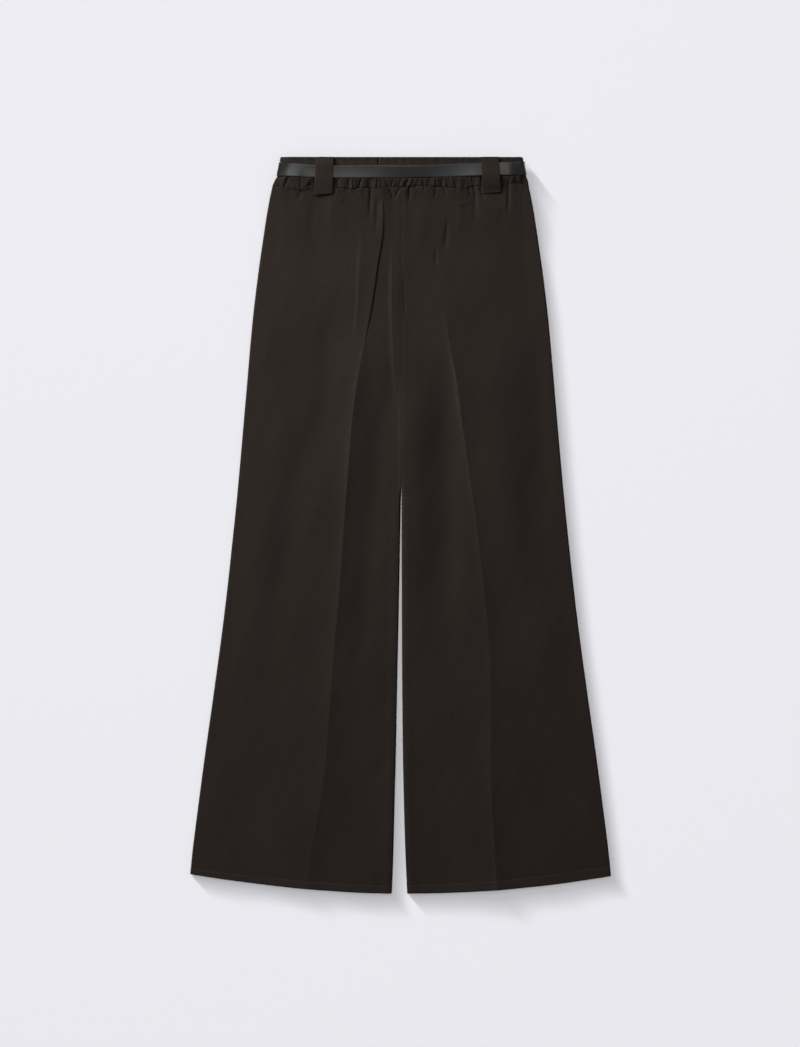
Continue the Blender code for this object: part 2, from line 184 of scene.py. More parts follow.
# One row for each fold of the back, in millimetres. It runs from its top to its low end,
# bows sideways in the middle, falls away over its left and right widths by exp of minus
# the distance to its power (1 a pinch, 2 a soft swell), and comes in and goes out over
# shares of its length. Its height is below the cloth where it is negative.
FOLD = "x_top drop_top x_low drop_low bow left right height power comes goes"
BACK_FOLDS = table(
    FOLD,
    # short pinches under the elastic
    (-160, 40, -158, 54, 1, 2, 2.4, -0.8, 1.6, 0.1, 0.7),
    (-143, 42, -152, 67, 2, 2.2, 2.6, -0.9, 1.6, 0.1, 0.7),
    (-133, 40, -125, 55, 0, 1.6, 2, -0.8, 1.6, 0.1, 0.6),
    (-93, 40, -95, 54, 0, 2, 2.2, -0.5, 1.8, 0.1, 0.7),
    (-79, 40, -80, 52, 1, 1.6, 2, -0.6, 1.6, 0.1, 0.7),
    (-64, 40, -60, 56, -1, 1.8, 2.2, -0.6, 1.6, 0.1, 0.7),
    (-52, 40, -53, 62, 0, 2, 2.4, -0.5, 1.8, 0.1, 0.7),
    (-42.6, 38, -45.6, 98, 0, 1.5, 2.6, -1.4, 1.5, 0.1, 0.65),
    (-33, 52, -36.5, 118, 1, 3.2, 3.6, -0.9, 2, 0.25, 0.5),
    (-21.5, 38, -9.6, 65, 2, 1.5, 1.7, -1.1, 1.4, 0.05, 0.35),
    (2.5, 40, -8.8, 65, -2, 1.5, 1.6, -1, 1.4, 0.05, 0.35),
    (13, 39, 11.2, 72, 0, 1.2, 1.8, -1.6, 1.4, 0.05, 0.6),
    (20, 44, 18, 66, 0, 3, 3.2, 0.4, 2, 0.3, 0.5),
    (34, 40, 32, 56, 1, 1.6, 2, -0.6, 1.6, 0.1, 0.7),
    (47, 40, 45, 63, 4.5, 1.4, 1.8, -0.9, 1.5, 0.1, 0.5),
    (61.5, 40, 68, 60, -1, 1.5, 2, -0.9, 1.5, 0.1, 0.6),
    (79, 40, 78, 56, 1, 2, 2.2, -0.6, 1.8, 0.1, 0.7),
    (96, 42, 103, 62, 1, 1.6, 2, -1, 1.6, 0.1, 0.6),
    (105, 42, 107, 66, 1, 1.4, 1.8, -1.2, 1.6, 0.1, 0.6),
    (113.5, 44, 121, 70, 1, 1.3, 1.8, -1.5, 1.5, 0.1, 0.6),
    (154.6, 39, 154.2, 92, 0, 1.2, 1.6, -1.9, 1.5, 0.05, 0.6),
    (168, 40, 171, 56, 0, 1.8, 2, -0.7, 1.6, 0.1, 0.7),
    # longer soft folds of the hip
    (-126, 60, -128, 132, 0, 6.5, 6.5, -0.6, 2, 0.35, 0.5),
    (-98, 52, -104, 120, 0, 5, 6, 0.35, 2, 0.3, 0.6),
    (-57, 92, -66, 270, 1, 2.2, 8, 0.8, 1.5, 0.35, 0.3),
    (-10, 112, -2.4, 372, -6, 3, 24, 1.5, 1.5, 0.3, 0.35),
    (4, 150, 6, 250, 0, 1.6, 3, -0.5, 2, 0.4, 0.4),
    (-26.5, 58, -24.5, 92, 0, 1, 1.4, 0.5, 1.8, 0.2, 0.3),
    (-118, 44, -130, 290, 0, 34, 18, -0.9, 2, 0.02, 0.5),
    (-24, 230, -34, 420, 0, 14, 12, 0.7, 2, 0.4, 0.4),
    (76, 68, 103, 65, 0, 1.5, 1.8, 0.5, 2, 0.3, 0.3),
    (-85, 55, -85, 67, 0, 1.2, 1.2, 0.6, 2, 0.3, 0.3),
    (-0.3, 300, -0.1, 486, 0, 1.6, 14, 0.6, 2, 0.4, 0.05),
    (28, 62, 30, 150, 1, 8, 8, 0.4, 2, 0.4, 0.5),
    (67.5, 84, 62, 140, 1, 2.6, 3.2, -0.9, 1.7, 0.35, 0.45),
    (51, 126, 50, 160, 0, 2.4, 2.6, -0.7, 2, 0.4, 0.4),
    (86, 56, 82, 120, 1, 4, 5, 0.4, 2, 0.3, 0.5),
    (107, 48, 107, 102, 0, 3.6, 4.4, -0.8, 1.8, 0.25, 0.5),
    (138, 62, 137, 116, 0, 6, 6, 0.35, 2, 0.3, 0.5),
    (176, 44, 187, 84, 0, 1.8, 3.2, 1.1, 1.8, 0.3, 0.4),
    # long slow swells and hollows of the legs
    (-157, 350, -226, 790, -8, 26, 24, 1.2, 2, 0.2, 0.35),
    (-123, 350, -191, 790, -8, 24, 24, -1.5, 2, 0.2, 0.35),
    (-101, 185, -112, 460, 0, 18, 28, -2, 2, 0.35, 0.4),
    (18, 225, 20, 430, 0, 28, 60, 2.4, 2, 0.35, 0.45),
    (-22, 300, -70, 860, 0, 16, 16, -1.4, 2, 0.2, 0.45),
    (14, 320, 16, 800, 2, 26, 22, 2.6, 2, 0.2, 0.5),
    (61, 285, 66, 790, 4, 22, 18, -2.7, 2, 0.15, 0.5),
    (122, 225, 176, 640, 0, 36, 32, 3.1, 2, 0.25, 0.3),
    (190, 215, 212, 520, 0, 22, 22, -1.5, 2, 0.3, 0.35),
    (-152, 690, -172, 1010, 0, 26, 28, 0.5, 2, 0.4, 0.3),
    (-228, 760, -214, 1040, 0, 22, 26, -0.5, 2, 0.4, 0.2),
    (-12, 850, -62, 915, 4, 9, 10, -0.5, 2, 0.3, 0.5),
    (-290, 985, -232, 983, 0, 7, 8, -0.5, 2, 0.3, 0.5),
    (196, 560, 214, 900, 0, 30, 34, 0.5, 2, 0.35, 0.35),
    (84, 760, 88, 1020, 0, 22, 20, 0.4, 2, 0.4, 0.3),
    (250, 820, 262, 1030, 0, 20, 18, -0.35, 2, 0.4, 0.3),
)

# The folds of the band between the belt and its seam
BAND_FOLDS = table(
    FOLD,
    (-162, 28, -167, 43, 0, 2.4, 2.4, -1.3, 1.8, 0.1, 0.2),
    (-134, 38, -129, 46, 0, 2, 2.8, -1.5, 1.8, 0.3, 0.3),
    (-97, 29, -88, 42, 0, 1.2, 1.3, -0.9, 1.6, 0.1, 0.2),
    (-87, 29, -96, 42, 0, 1.2, 1.3, -0.9, 1.6, 0.1, 0.2),
    (-76, 29, -72, 42, 0, 1.3, 1.5, -0.9, 1.6, 0.1, 0.3),
    (-54, 29, -61, 43, 0, 1.3, 1.5, -1.2, 1.6, 0.1, 0.1),
    (-43, 28, -43, 44, 0, 5, 5, -1.1, 2.2, 0.1, 0.1),
    (-24, 31, -16, 44, 0, 1.5, 1.8, -1, 1.6, 0.1, 0.2),
    (-8, 29, -14, 44, 0, 1.5, 1.7, -0.9, 1.6, 0.1, 0.2),
    (3, 29, -3, 44, 0, 1.5, 1.7, -0.9, 1.6, 0.1, 0.2),
    (12, 29, 7, 44, 0, 1.5, 1.7, -0.8, 1.6, 0.1, 0.2),
    (30, 29, 33, 43, 1, 1.4, 1.8, -1, 1.6, 0.1, 0.2),
    (44, 29, 42, 41, 0, 1.4, 1.6, -0.8, 1.6, 0.1, 0.3),
    (60, 28, 60, 44, 0, 2.2, 2.4, -1.2, 2, 0.1, 0.1),
    (103, 28, 101, 40, 0, 1.3, 1.5, -0.7, 1.6, 0.1, 0.4),
    (170, 36, 181, 33, 0, 2.2, 2.6, -1.2, 2, 0.2, 0.2),
    (139, 28.8, 180, 28.2, 0, 6, 1.5, 0.9, 2, 0.15, 0.1),
)

# How far the waist seam strays below its level, in millimetres
SEAM_LINE = table(
    "x drop",
    (-176, 1.5), (-164, 2.8), (-149, 6), (-141, 5.2), (-131, -0.8), (-121, 2), (-98, 5.4),
    (-86, 3.2), (-70, 5), (-54, 3), (-36, 4.4), (-15, 0.9), (-2, 1.8), (21, 0.3), (46, 0.8),
    (64, 2), (76, 3.2), (84, 5), (93, 4), (100, 1.4), (113, 0.2), (129, -0.6), (145, -1.6),
    (160, -3.4), (176, -4.4),
)

# The folds of the front, whose cloth can only be pushed up off the surface it lies on
FRONT_FOLDS = table(
    FOLD,
    (-98, 210, -150, 1010, 0, 9, 9, -0.7, 2, 0.15, 0.1),
    (-116, 210, -170, 1010, 0, 9, 9, -0.7, 2, 0.15, 0.1),
    (98, 210, 150, 1010, 0, 9, 9, -0.7, 2, 0.15, 0.1),
    (116, 210, 170, 1010, 0, 9, 9, -0.7, 2, 0.15, 0.1),
    (-40, 150, -64, 420, 6, 10, 12, -0.6, 2, 0.3, 0.5),
    (44, 170, 60, 520, -5, 12, 10, -0.6, 2, 0.3, 0.5),
    (-190, 340, -236, 760, 8, 16, 14, -0.5, 2, 0.3, 0.4),
    (186, 300, 226, 700, 6, 14, 16, -0.5, 2, 0.3, 0.4),
    (-60, 700, -70, 1000, 0, 14, 14, -0.5, 2, 0.3, 0.3),
    (226, 820, 250, 1020, 0, 15, 15, -0.5, 2, 0.3, 0.3),
)

# The ridges over the seam allowances: height, place and reach, in from the inner edge
INSEAM_RIDGE = (0.5 * MM, 7 * MM, 6 * MM)
INSEAM_RIDGE_COMES = (CROTCH_DROP, 480 * MM)
CENTRE_RIDGE = (0.12 * MM, 5 * MM, 3 * MM)

# The long swells of the laid cloth: heights in millimetres, lengths in metres
SWELLS = table(
    "height across down phase",
    (0.3, 0.131, 0.42, 0.3),
    (0.26, 0.093, -0.31, 1.7),
    (0.22, 0.21, 0.147, 2.9),
    (0.05, 0.031, 0.083, 0.8),
    (0.04, 0.047, -0.036, 4),
)
SWELLS_FULL = 120 * MM

# Gathers of the elastic band: broad waves through its whole height, and close pinches
# between the belt and the seam that go on into the top of the legs. The sines that make
# them uneven are given by height, length and phase, the waves' lengths in pitches. The
# ruffle of the top edge is given by height, pitch and start, and its frill by height,
# pitch, place and reach. Sinks and droops grow from the first size to the second.
WAVE_BEND = (1.4, 6.3, 0.7)
WAVE_SWELL = (0.2, 3.1, 2)
BAND_WAVE_PITCH = 14 * MM
BAND_WAVE = 0.5 * MM
BAND_WAVE_TOP = 0.25
BAND_WAVE_FRONT = 0.25
BAND_FULLER = 27 * MM
BAND_SIDE_PLAIN = (3 * MM, 14 * MM)
BAND_PUFF = 2.1 * MM
PUFF_FALL = 0.7
PUFF_REACH = 12 * MM
PUFF_COMES = (0.1 * MM, 1.2 * MM)
PUFF_LENGTH = BAND_HEIGHT - 30 * MM
FREE_OF_BELT = (-0.5 * MM, 2.5 * MM)
TOP_PROUD = 1 * MM
TOP_PROUD_REACH = 14 * MM
TOP_SINKS = (0.5 * MM, 1.3 * MM)
TOP_SINKS_TO = 12 * MM
TOP_SINKS_X = (-SIDE_X, 60 * MM)
RUFFLE = (0.15 * MM, 9 * MM, 5 * MM)
RUFFLE_REACH = 7 * MM
FRILL = (1.5 * MM, 10.5 * MM, 93 * MM, 17 * MM)
PINCH_PITCH = 8.6 * MM
PINCH_BENDS = ((0.42, 63 * MM, 0.4), (0.26, 27 * MM, 1.9))
PINCH_STRENGTH = (0.62, (0.25, 41 * MM, 0), (0.13, 17 * MM, 0))
PINCH_POWER = 0.55
PINCH_LEVEL = 0.72
PINCH_BAND = 1 * MM
BAND_PINCH_FRONT = 0.3
PINCH_LEG = 0.65 * MM
PINCH_LEG_REACH = 6.5 * MM
PINCH_SLANT = 0.55
PINCH_LEAN = (118 * MM, 0.9)
LEG_WAVE_PITCH = 36 * MM
LEG_WAVE = 0.5 * MM
LEG_WAVE_REACH = 35 * MM
FRONT_SHARE = 0.5
FRONT_GATHERS = 0.4
SEAM_GROOVE = (0.75 * MM, 1.1 * MM)
SEAM_DEPTH = (0.55, (0.3, 23 * MM, 0), (0.25, 58 * MM, 1))
SEAM_LEAST_DEPTH = 0.12
BAND_WANDERS = (34 * MM, BAND_HEIGHT)
WANDER_REACH = 14 * MM
DROOP = (0.7 * MM, 1.7 * MM)
DROOP_REACH = (18 * MM, 24 * MM)
DROOP_FADES = 60 * MM
CENTRE_GROOVE = (0.1 * MM, 0.8 * MM)
CENTRE_GROOVE_FADES = (230 * MM, 320 * MM)
INNER_LAP = 0.25 * MM
LAP_ENDS = (452 * MM, 480 * MM)
LAP_REACH = 2 * MM

# The band's wall and its ends, its rows in millimetres, and its steps round the waist
BAND_THICKNESS = 1.6 * MM
BAND_ABOVE_SEAM = 0.03
BAND_CLOSE_ROWS = (24, -0.8)
BAND_ROWS = (22, 16, 11, 9, 7, 5, 3.5, 2.2, 1.4)
BAND_INNER_ROWS = (3, 10, 20, 30, 36, 41)
BAND_TOP_ROWS = 9
BAND_STEPS = (560, 14, 170, 14)
BAND_NOSE = (0.3, 1.1 * MM)
BAND_END_PINCH = (0.8 * MM, 1.3 * MM)
BAND_END_ROWS = 1.2 * MM

# Where painted shade darkens the cloth, below the belt and on both sides of the waist seam, by what
# share, and how much of it the loops get
PAINTED_SHADE_DROPS = (28 * MM, 33 * MM, 44 * MM, 80 * MM)
PAINTED_SHADE_X = (96 * MM, 112 * MM)
PAINTED_SHADE_SHARE = 0.2
PAINTED_SHADE_ON_LOOPS = 0.4

# The turned hem
HEM_TURN = 12.2 * MM
HEM_TURN_SLANT = 0.0095
HEM_RELIEF = 0.2 * MM
HEM_FLARE = 0.7 * MM
HEM_ROUND = 0.9 * MM
HEM_STEP = (-0.5 * MM, 1.5 * MM)
HEM_HOLLOW_COMES = (0.5, 1)
STITCH_GROOVE = (0.25 * MM, 0.8 * MM)
STITCH_LENGTH = 3.6 * MM
STITCH_PITCH = 4.9 * MM
STITCH_RADIUS = 0.24 * MM
STITCH_POINTS = (7, 6)
STITCH_CLEARS = 16 * MM

# How deep the hem stitches are drawn into the cloth, in millimetres
STITCH_DEPTHS = table(
    "x depth",
    (-305, 0.42), (-228, 0.42), (-214, 0.04), (-163, 0.04), (-150, 0.36), (-129, 0.36),
    (-121, 0.1), (-111, 0.1), (-104, 0.36), (-95, 0.18), (-86, 0.42), (80, 0.42), (91, 0.08),
    (128, 0.08), (137, 0.34), (160, 0.34), (168, 0.02), (206, 0.05), (215, 0.24), (226, 0.24),
    (233, 0.08), (272, 0.1), (282, 0.4), (305, 0.42),
)

# The belt across the back, in millimetres and degrees: its middle line and width, how far
# its face leans (its upper edge stands off where that is positive), how deep the hollow
# along its middle is, how far its upper edge is rolled back, and how far it all stands off
STRAP = table(
    "x drop width lean cup roll stand",
    (-178, 19.2, 18.2, 4.5, 0.04, 0, 0),
    (-170, 19.2, 18.4, 3, 0.04, 0, 0),
    (-163, 19.1, 18.6, -0.7, 0.04, 0, 0),
    (-156, 19, 18.8, -2.9, 0.08, 0, 0),
    (-147, 19.5, 18.5, -3.8, 0.22, 0, 0),
    (-138, 20.4, 18.2, -2.4, 0.38, 0, 0),
    (-127, 21.2, 17.6, 0, 0.32, 0, 0),
    (-110, 21.6, 17.6, 0.8, 0.14, 0, 0),
    (-93, 21.8, 17.9, 0, 0.12, 0, 0),
    (-78, 21.8, 18.1, -0.8, 0.17, 0, 0),
    (-58, 21.8, 18.2, -0.6, 0.2, 0, 0),
    (-40, 21.6, 18.4, 0.6, 0.17, 0, 0),
    (-24, 21.8, 18.5, 2.2, 0.12, 4, 0),
    (-8, 21.8, 18.6, 3.4, 0.04, 8, 0),
    (12, 21.6, 18.1, 3.6, 0, 9, 0),
    (28, 21.3, 17.8, 3.5, 0, 9, 0),
    (46, 21, 18, 2, 0, 6, 0),
    (62, 20.4, 18.8, 0.3, 0.02, 0, 0),
    (78, 19.6, 18.8, -1.2, 0.04, 0, 0),
    (93, 18.9, 19, -3.3, 0.06, 0, 0),
    (108, 18.4, 19, -5.3, 0.1, 0, 0),
    (129, 17.5, 18.8, -5.6, 0.12, 0, 0),
    (141, 17.5, 18.9, -5, 0.14, 0, 0.15),
    (148, 17.5, 19, -4.4, 0.14, 0, 0.5),
    (155, 17.5, 19, -3.8, 0.12, 0, 0.85),
    (160, 17.4, 18.9, -2.4, 0.08, 0, 0.95),
    (166, 17.2, 18.8, 1, 0.06, 0, 0.75),
    (172, 17.1, 18.6, 5, 0.05, 0, 0.3),
    (178, 16.9, 18.4, 7, 0.05, 0, 0),
)
STRAP_SETTLING = 0.05
STRAP_ROLL = 2.6 * MM

LOOPS = table(
    "name node x_top x_low width_top width_low length at_back",
    ("belt_loop_back_left", "loop_back_left", -108.4, -111, 25, 27.5, 54.4, True),
    ("belt_loop_back_right", "loop_back_right", 128.5, 131, 25, 27, 52.4, True),
    ("belt_loop_front_left", "loop_front_left", -105, -105, 25, 25, 52, False),
    ("belt_loop_front_right", "loop_front_right", 105, 105, 25, 25, 52, False),
)
LOOP_THICKNESS = 1 * MM
LOOP_SLACK = 1.2 * MM
LOOP_RISE_STARTS = LOOP_SLACK * 4
LOOP_ROWS = 90
LOOP_SAMPLES = 13
LOOP_SLANT = -0.085
LOOP_ROUNDING = 0.42 * MM
LOOP_CROWN = 0.16 * MM
LOOP_NARROWS = 0.015
LOOP_NOSE = 0.75 * MM
LOOP_END_ROWS = 0.9 * MM
LOOP_TOP = 0.7 * MM
LOOP_TIP = 3 * MM
LOOP_OUT = 0.5 * MM
LOOP_TIP_OUT = 0.3 * MM
LOOP_COVERS = (0.5 * MM, 4 * MM)

# Streaks of the cloth's yarns to the metre, along and across, and its fine ribs. A wave of
# Blender's at a scale of 1 has a turn over 20 between its bands.
WARP_STREAKS = (720, 110)
WEFT_STREAKS = (130, 640)
FLECKS = (520, 430, 3)
CLOUDS = (9, 6)
FINE_RIBS = 1.3
WAVE_TURN = 6.2832
WAVES_A_TURN = 20

# The belt's rubbed edges, in from each, and where it turns under and is duller
BELT_RUBBED = (0.9 * MM, 0.1 * MM)
BELT_DULL_X = (160 * MM, 178 * MM)
BELT_DULLER = 0.2
# The share of the thread's colour left in the painted shade between its plies
PLY_SHADE = 0.75

# Lamps: their places in metres, and the low ones as (share, height and width in degrees).
# The camera's sensor is in millimetres. Its longer side sees the view's length of floor,
# and it stands over a point a little off the middle.
KEY_PLACE = (-1.9, 1.9, 0.9)
KEY_SIZE = 0.9
TOP_PLACE = (-0.85, 1.9, 4.2)
TOP_SIZE = 1.6
LOW_LIGHTS = ((0.19, 8.5, 3.5), (0.19, 12, 5), (0.17, 20, 12), (0.45, 85, 10))
LOW_LIGHT_TURN = np.radians(220)
FILL_LEVEL = 0.33
FLOOR_HALF = 12
FLOOR_LEVEL = -0.2 * MM
SENSOR = 36
VIEW_LENGTH = 1507.68 * MM
VIEW_END = 60
CAMERA_OVER = (-0.72 * MM, 2.9 * MM)

# The leg panels' rows, as (start, end, step) in millimetres down to the hem's, which are
# measured up from its edge, and their columns inside and outside the crease
ROWS = {
    False: ((42.03, 60, 2), (60, 350, 5), (350, 1030, 12)),
    True: ((42.03, 58, 0.8), (58, 130, 2), (130, 350, 3.2), (350, 1030, 7.5)),
}
COLUMNS = {False: (36, 56), True: (58, 98)}
INNER_CROWDING = (0.5, 0.5, 1.8)
OUTER_CROWDING = (0.55, 0.45, 2)
HEM_ROWS = (30, 23, *np.arange(19, 8, -0.6), 7, 5, 3.6, 2.6, 1.6, 0.9, 0.5, 0.2, 0)
ROLL_STATIONS = 8
LEAST_ROLL = 1e-4  # radians, in place of none, because the arc is divided by its angle
MERGE_DISTANCE = 0.001 * MM
AREA_ROWS = 400

# Where pieces lie in the weave, so that no two show the same yarns, in metres
RIGHT_CLOTH_FROM = (1.3, 0.7)
LOOP_CLOTH_FROM = (2.1, 1.9)
LOOP_CLOTH_STEP = (0.3, 0)


# ---------------------------------------------------------------- curves and waves


def ramp(at, start, end):
    """0 before start, 1 after end, and 3 t squared less 2 t cubed between them."""
    t = np.clip((at - start) / (end - start), 0, 1)
    return t * t * (3 - 2 * t)


def pulse(at, comes, full, goes, gone):
    """A smooth step up from comes to full, and one down from goes to gone."""
    return ramp(at, comes, full) * (1 - ramp(at, goes, gone))


def bell(away, width):
    """exp of minus the square of the distance over the width."""
    return np.exp(-((away / width) ** 2))


def wave(x, length, phase=0):
    """A sine along x."""
    return np.sin(TURN * x / length + phase)


def uneven(x, mean, *waves):
    """The mean plus sines along x, each given by its height, length and phase."""
    for height, length, phase in waves:
        mean = mean + height * wave(x, length, phase)
    return mean


def stacked(*parts):
    """Points or lengths of these coordinates, each spread over the whole grid."""
    return np.stack(np.broadcast_arrays(*parts), axis=-1)


def running_length(points):
    """The length along a line of points up to each of them."""
    steps = np.linalg.norm(np.diff(points, axis=0), axis=1)
    return np.concatenate([[0], np.cumsum(steps)])


def close_ends(values, length, count=7):
    """The values with more of them near both ends, at the squares of even shares."""
    ends = np.linspace(0, 1, count)[1:-1] ** 2 * length
    return np.unique(np.concatenate([values, values[0] + ends, values[-1] - ends]))


def smooth_curve(at, places, values):
    """Hermite cubics through the values, each slope taken from its neighbours."""
    places, values = np.asarray(places, float), np.asarray(values, float)
    slopes = np.gradient(values, places)
    i = np.clip(np.searchsorted(places, at, side="right") - 1, 0, len(places) - 2)
    span = places[i + 1] - places[i]
    t = np.clip((at - places[i]) / span, 0, 1)
    return (
        (2 * t**3 - 3 * t**2 + 1) * values[i]
        + (t**3 - 2 * t**2 + t) * span * slopes[i]
        + (3 * t**2 - 2 * t**3) * values[i + 1]
        + (t**3 - t**2) * span * slopes[i + 1]
    )


def column_at(rows, key, column, at, unit=MM):
    """One column of a table at any place along its key column, in metres."""
    keys = [getattr(row, key) * MM for row in rows]
    return smooth_curve(at, keys, [getattr(row, column) * unit for row in rows])


def section(column, drop):
    """One size of the garment's section at a drop."""
    return column_at(SECTIONS, "drop", column, drop)


def crease(column, drop):
    """One size of the pressed creases at a drop."""
    return column_at(CREASES, "drop", column, drop)


def strap(column, x, unit=MM):
    """One size of the belt across the back."""
    return column_at(STRAP, "x", column, x, unit)


def lift(drop):
    """How far the belt below holds the cloth up, falling to 0 by a smooth step."""
    return WAIST_LIFT * (1 - ramp(drop, BAND_HEIGHT, LIFT_ENDS))


def hem_rise(drop, side):
    """How far the outer edge is drawn up: a smooth step squared."""
    return HEM_RISE[side] * ramp(drop, HEM_RISE_STARTS, LENGTH) ** 2


def uneven_waves(x, pitch):
    """A sine whose phase and strength are bent by slower sines, from -1 to 1."""
    bend, bend_pitches, bend_phase = WAVE_BEND
    swell, swell_pitches, swell_phase = WAVE_SWELL
    strength = 1 - swell + swell * wave(x, swell_pitches * pitch, swell_phase)
    return strength * wave(x, pitch, bend * wave(x, bend_pitches * pitch, bend_phase))


def pinches(x, drop):
    """Rounded puffs with sharp valleys between them: |sin| to a low power, less its mean.

    The count of puffs runs along x, bent by slower sines so that no two are alike, and
    leans with the drop, so that the valleys run aslant and change sides along the seam.
    """
    lean = PINCH_SLANT * wave(x, *PINCH_LEAN) * (drop - BAND_HEIGHT) / PINCH_PITCH
    count = uneven(x, x / PINCH_PITCH + lean, *PINCH_BENDS)
    puffs = np.abs(np.sin(np.pi * count)) ** PINCH_POWER - PINCH_LEVEL
    return uneven(x, *PINCH_STRENGTH) * puffs


def from_side(x, drop):
    """1 over most of the waist, and a smooth step to 0 at each side."""
    return ramp(section("half_width", drop) - np.abs(x), *BAND_SIDE_PLAIN)


def seam_wander(x):
    """How far the waist seam strays from its level at the back, and 0 at each side."""
    return column_at(SEAM_LINE, "x", "drop", x) * from_side(x, BAND_HEIGHT)


def waist_shift(x, drop):
    """How far the sides of the band and belt lie over to the right, more at the top."""
    high = 1 - ramp(drop, *WAIST_SHIFT_DROPS)
    return WAIST_SHIFT * ramp(np.abs(x), *WAIST_SHIFT_X) * high


def seam_raise(x, drop):
    """The fullness gathered at the seam: it falls on either side of the seam's level."""
    plain = from_side(x, drop) * (1 - near_loops(x, True))
    below = np.maximum(drop - BAND_HEIGHT, 0)
    return BAND_PUFF * (1 - PUFF_FALL) * plain * np.exp(-below / PUFF_REACH)


def painted_shade_mask(x, drop):
    """1 on both sides of the waist seam, where the cloth is drawn up and painted darker as shade, and 0
    elsewhere.
    """
    return pulse(drop, *PAINTED_SHADE_DROPS) * (1 - ramp(x, *PAINTED_SHADE_X))


def side_droop(x):
    """How far the back of the flattened waist sinks towards each side: a square law."""
    left = np.clip(1 - (x + SIDE_X) / DROOP_REACH[0], 0, 1)
    right = np.clip(1 - (SIDE_X - x) / DROOP_REACH[1], 0, 1)
    return DROOP[0] * left**2 + DROOP[1] * right**2


def slow_unevenness(x, drop):
    """Faint swells of the laid cloth: a few long sines that cross each other."""
    return MM * sum(
        swell.height * np.sin(TURN * (x / swell.across + drop / swell.down) + swell.phase)
        for swell in SWELLS
    )


def fold_relief(folds, x, drop):
    """Sum of the folds of a table; each is height * along * exp(-(distance / width)^power).

    Along is 1 in the middle and steps smoothly to 0 at both ends. The distance is square
    to the line from the fold's top to its low end, less a parabola for its bow.
    """
    total = np.zeros(np.broadcast(x, drop).shape)
    for fold in folds:
        run, fall = (fold.x_low - fold.x_top) * MM, (fold.drop_low - fold.drop_top) * MM
        length = np.hypot(run, fall)
        dx, ds = x - fold.x_top * MM, drop - fold.drop_top * MM
        t = (dx * run + ds * fall) / length**2
        away = (dx * fall - ds * run) / length - fold.bow * MM * 4 * t * (1 - t)
        width = np.where(away < 0, fold.left, fold.right) * MM
        along = pulse(t, 0, fold.comes, 1 - fold.goes, 1)
        total += fold.height * MM * along * np.exp(-((np.abs(away) / width) ** fold.power))
    return total


def crease_relief(name, x, drop, height):
    """A pressed crease: height * exp(-distance / reach), its tip rounded, with a fine line.

    Where the left one is tucked, its right flank drops at once, by a smooth step, into a
    narrow groove.
    """
    away = x - crease(name, drop)
    tall = crease(name + "_height", drop) * height
    rounded = np.sqrt(away**2 + CREASE_TIP**2) - CREASE_TIP
    left, right = (np.exp(-rounded / reach) for reach in CREASE_REACH)
    flank = np.where(away < 0, left, right)
    line = np.exp(-np.abs(away) / np.where(away < 0, *CREASE_LINE_REACH[name]))
    line = line * np.maximum(crease(name + "_line", drop), 0)
    if name == "left":
        depth, place, width = TUCK_GROOVE
        over = pulse(drop, *TUCK_DROPS)
        lapped = 1 - ramp(away, TUCK_FALL_STARTS, TUCK_FALL)
        flank = flank + over * np.where(away < 0, 0, lapped - flank)
        line = line - over * depth * bell(away - place, width)
    return tall * flank + line


def near_loops(x, at_back):
    """1 under a belt loop and 0 away from it, by smooth steps at its two edges."""
    covered = 0
    start, end = LOOP_COVERS
    for loop in LOOPS:
        if loop.at_back == at_back:
            middle, half = (loop.x_top + loop.x_low) / 2 * MM, loop.width_low / 2 * MM
            covered = covered + 1 - ramp(np.abs(x - middle), half + start, half + end)
    return covered


def leg_waves(x, drop):
    """The waves that run down from the elastic band and die out by exp of the drop."""
    height = LEG_WAVE * np.exp(-(drop - BAND_HEIGHT) / LEG_WAVE_REACH)
    return height * uneven_waves(x, LEG_WAVE_PITCH)


def leg_pinches(x, drop, at_back, gather):
    """The band's pinches where they go on into the leg, dying out by exp of the drop."""
    fading = np.exp(-np.maximum(drop - BAND_HEIGHT, 0) / PINCH_LEG_REACH)
    plain = 1 - near_loops(x, at_back)
    return gather * PINCH_LEG * fading * plain * pinches(x, drop)


def seam_dip(x, drop):
    """The pinched line of the waist seam: a groove that falls away by exp of the square.

    Its depth comes and goes along the seam with two sines of unlike lengths.
    """
    depth, width = SEAM_GROOVE
    share = np.maximum(uneven(x, *SEAM_DEPTH), SEAM_LEAST_DEPTH)
    return depth * share * bell(drop - BAND_HEIGHT, width)


def hem_turn(x):
    """How far above the edge the hem is stitched."""
    return HEM_TURN + HEM_TURN_SLANT * x


def hem_relief(x, drop):
    """The turned-up hem: a low step over its depth, a stitch groove and a rounded edge.

    Below the stitches it rises a little towards its edge.
    """
    above = LENGTH - drop
    depth, width = STITCH_GROOVE
    turn = hem_turn(x)
    step = HEM_RELIEF * (1 - ramp(above, *(turn + reach for reach in HEM_STEP)))
    flare = HEM_FLARE * np.clip(1 - above / turn, 0, 1)
    round_share = 1 - np.clip(above / HEM_ROUND, 0, 1)
    edge = HEM_ROUND * (1 - np.sqrt(1 - round_share**2))
    return step + flare - depth * bell(above - turn, width) - edge


# ---------------------------------------------------------------- leg panels


def rolled_edge(angle):
    """(run, fall) of the stations along a rolled edge: an arc of the angle, then a tail."""
    angle = np.maximum(angle, LEAST_ROLL)
    shares = np.linspace(0, 1, ROLL_STATIONS)[1:]
    run = EDGE_ARC * np.sin(angle * shares) / angle
    fall = EDGE_ARC * (1 - np.cos(angle * shares)) / angle
    run = np.hstack([run, run[:, -1:] + EDGE_TAIL * np.cos(angle)])
    fall = np.hstack([fall, fall[:, -1:] + EDGE_TAIL * np.sin(angle)])
    return run, fall


def crowded(share, even, close, power):
    """Shares of a length drawn towards its start: even * share + close * share^power."""
    return even * share + close * share**power


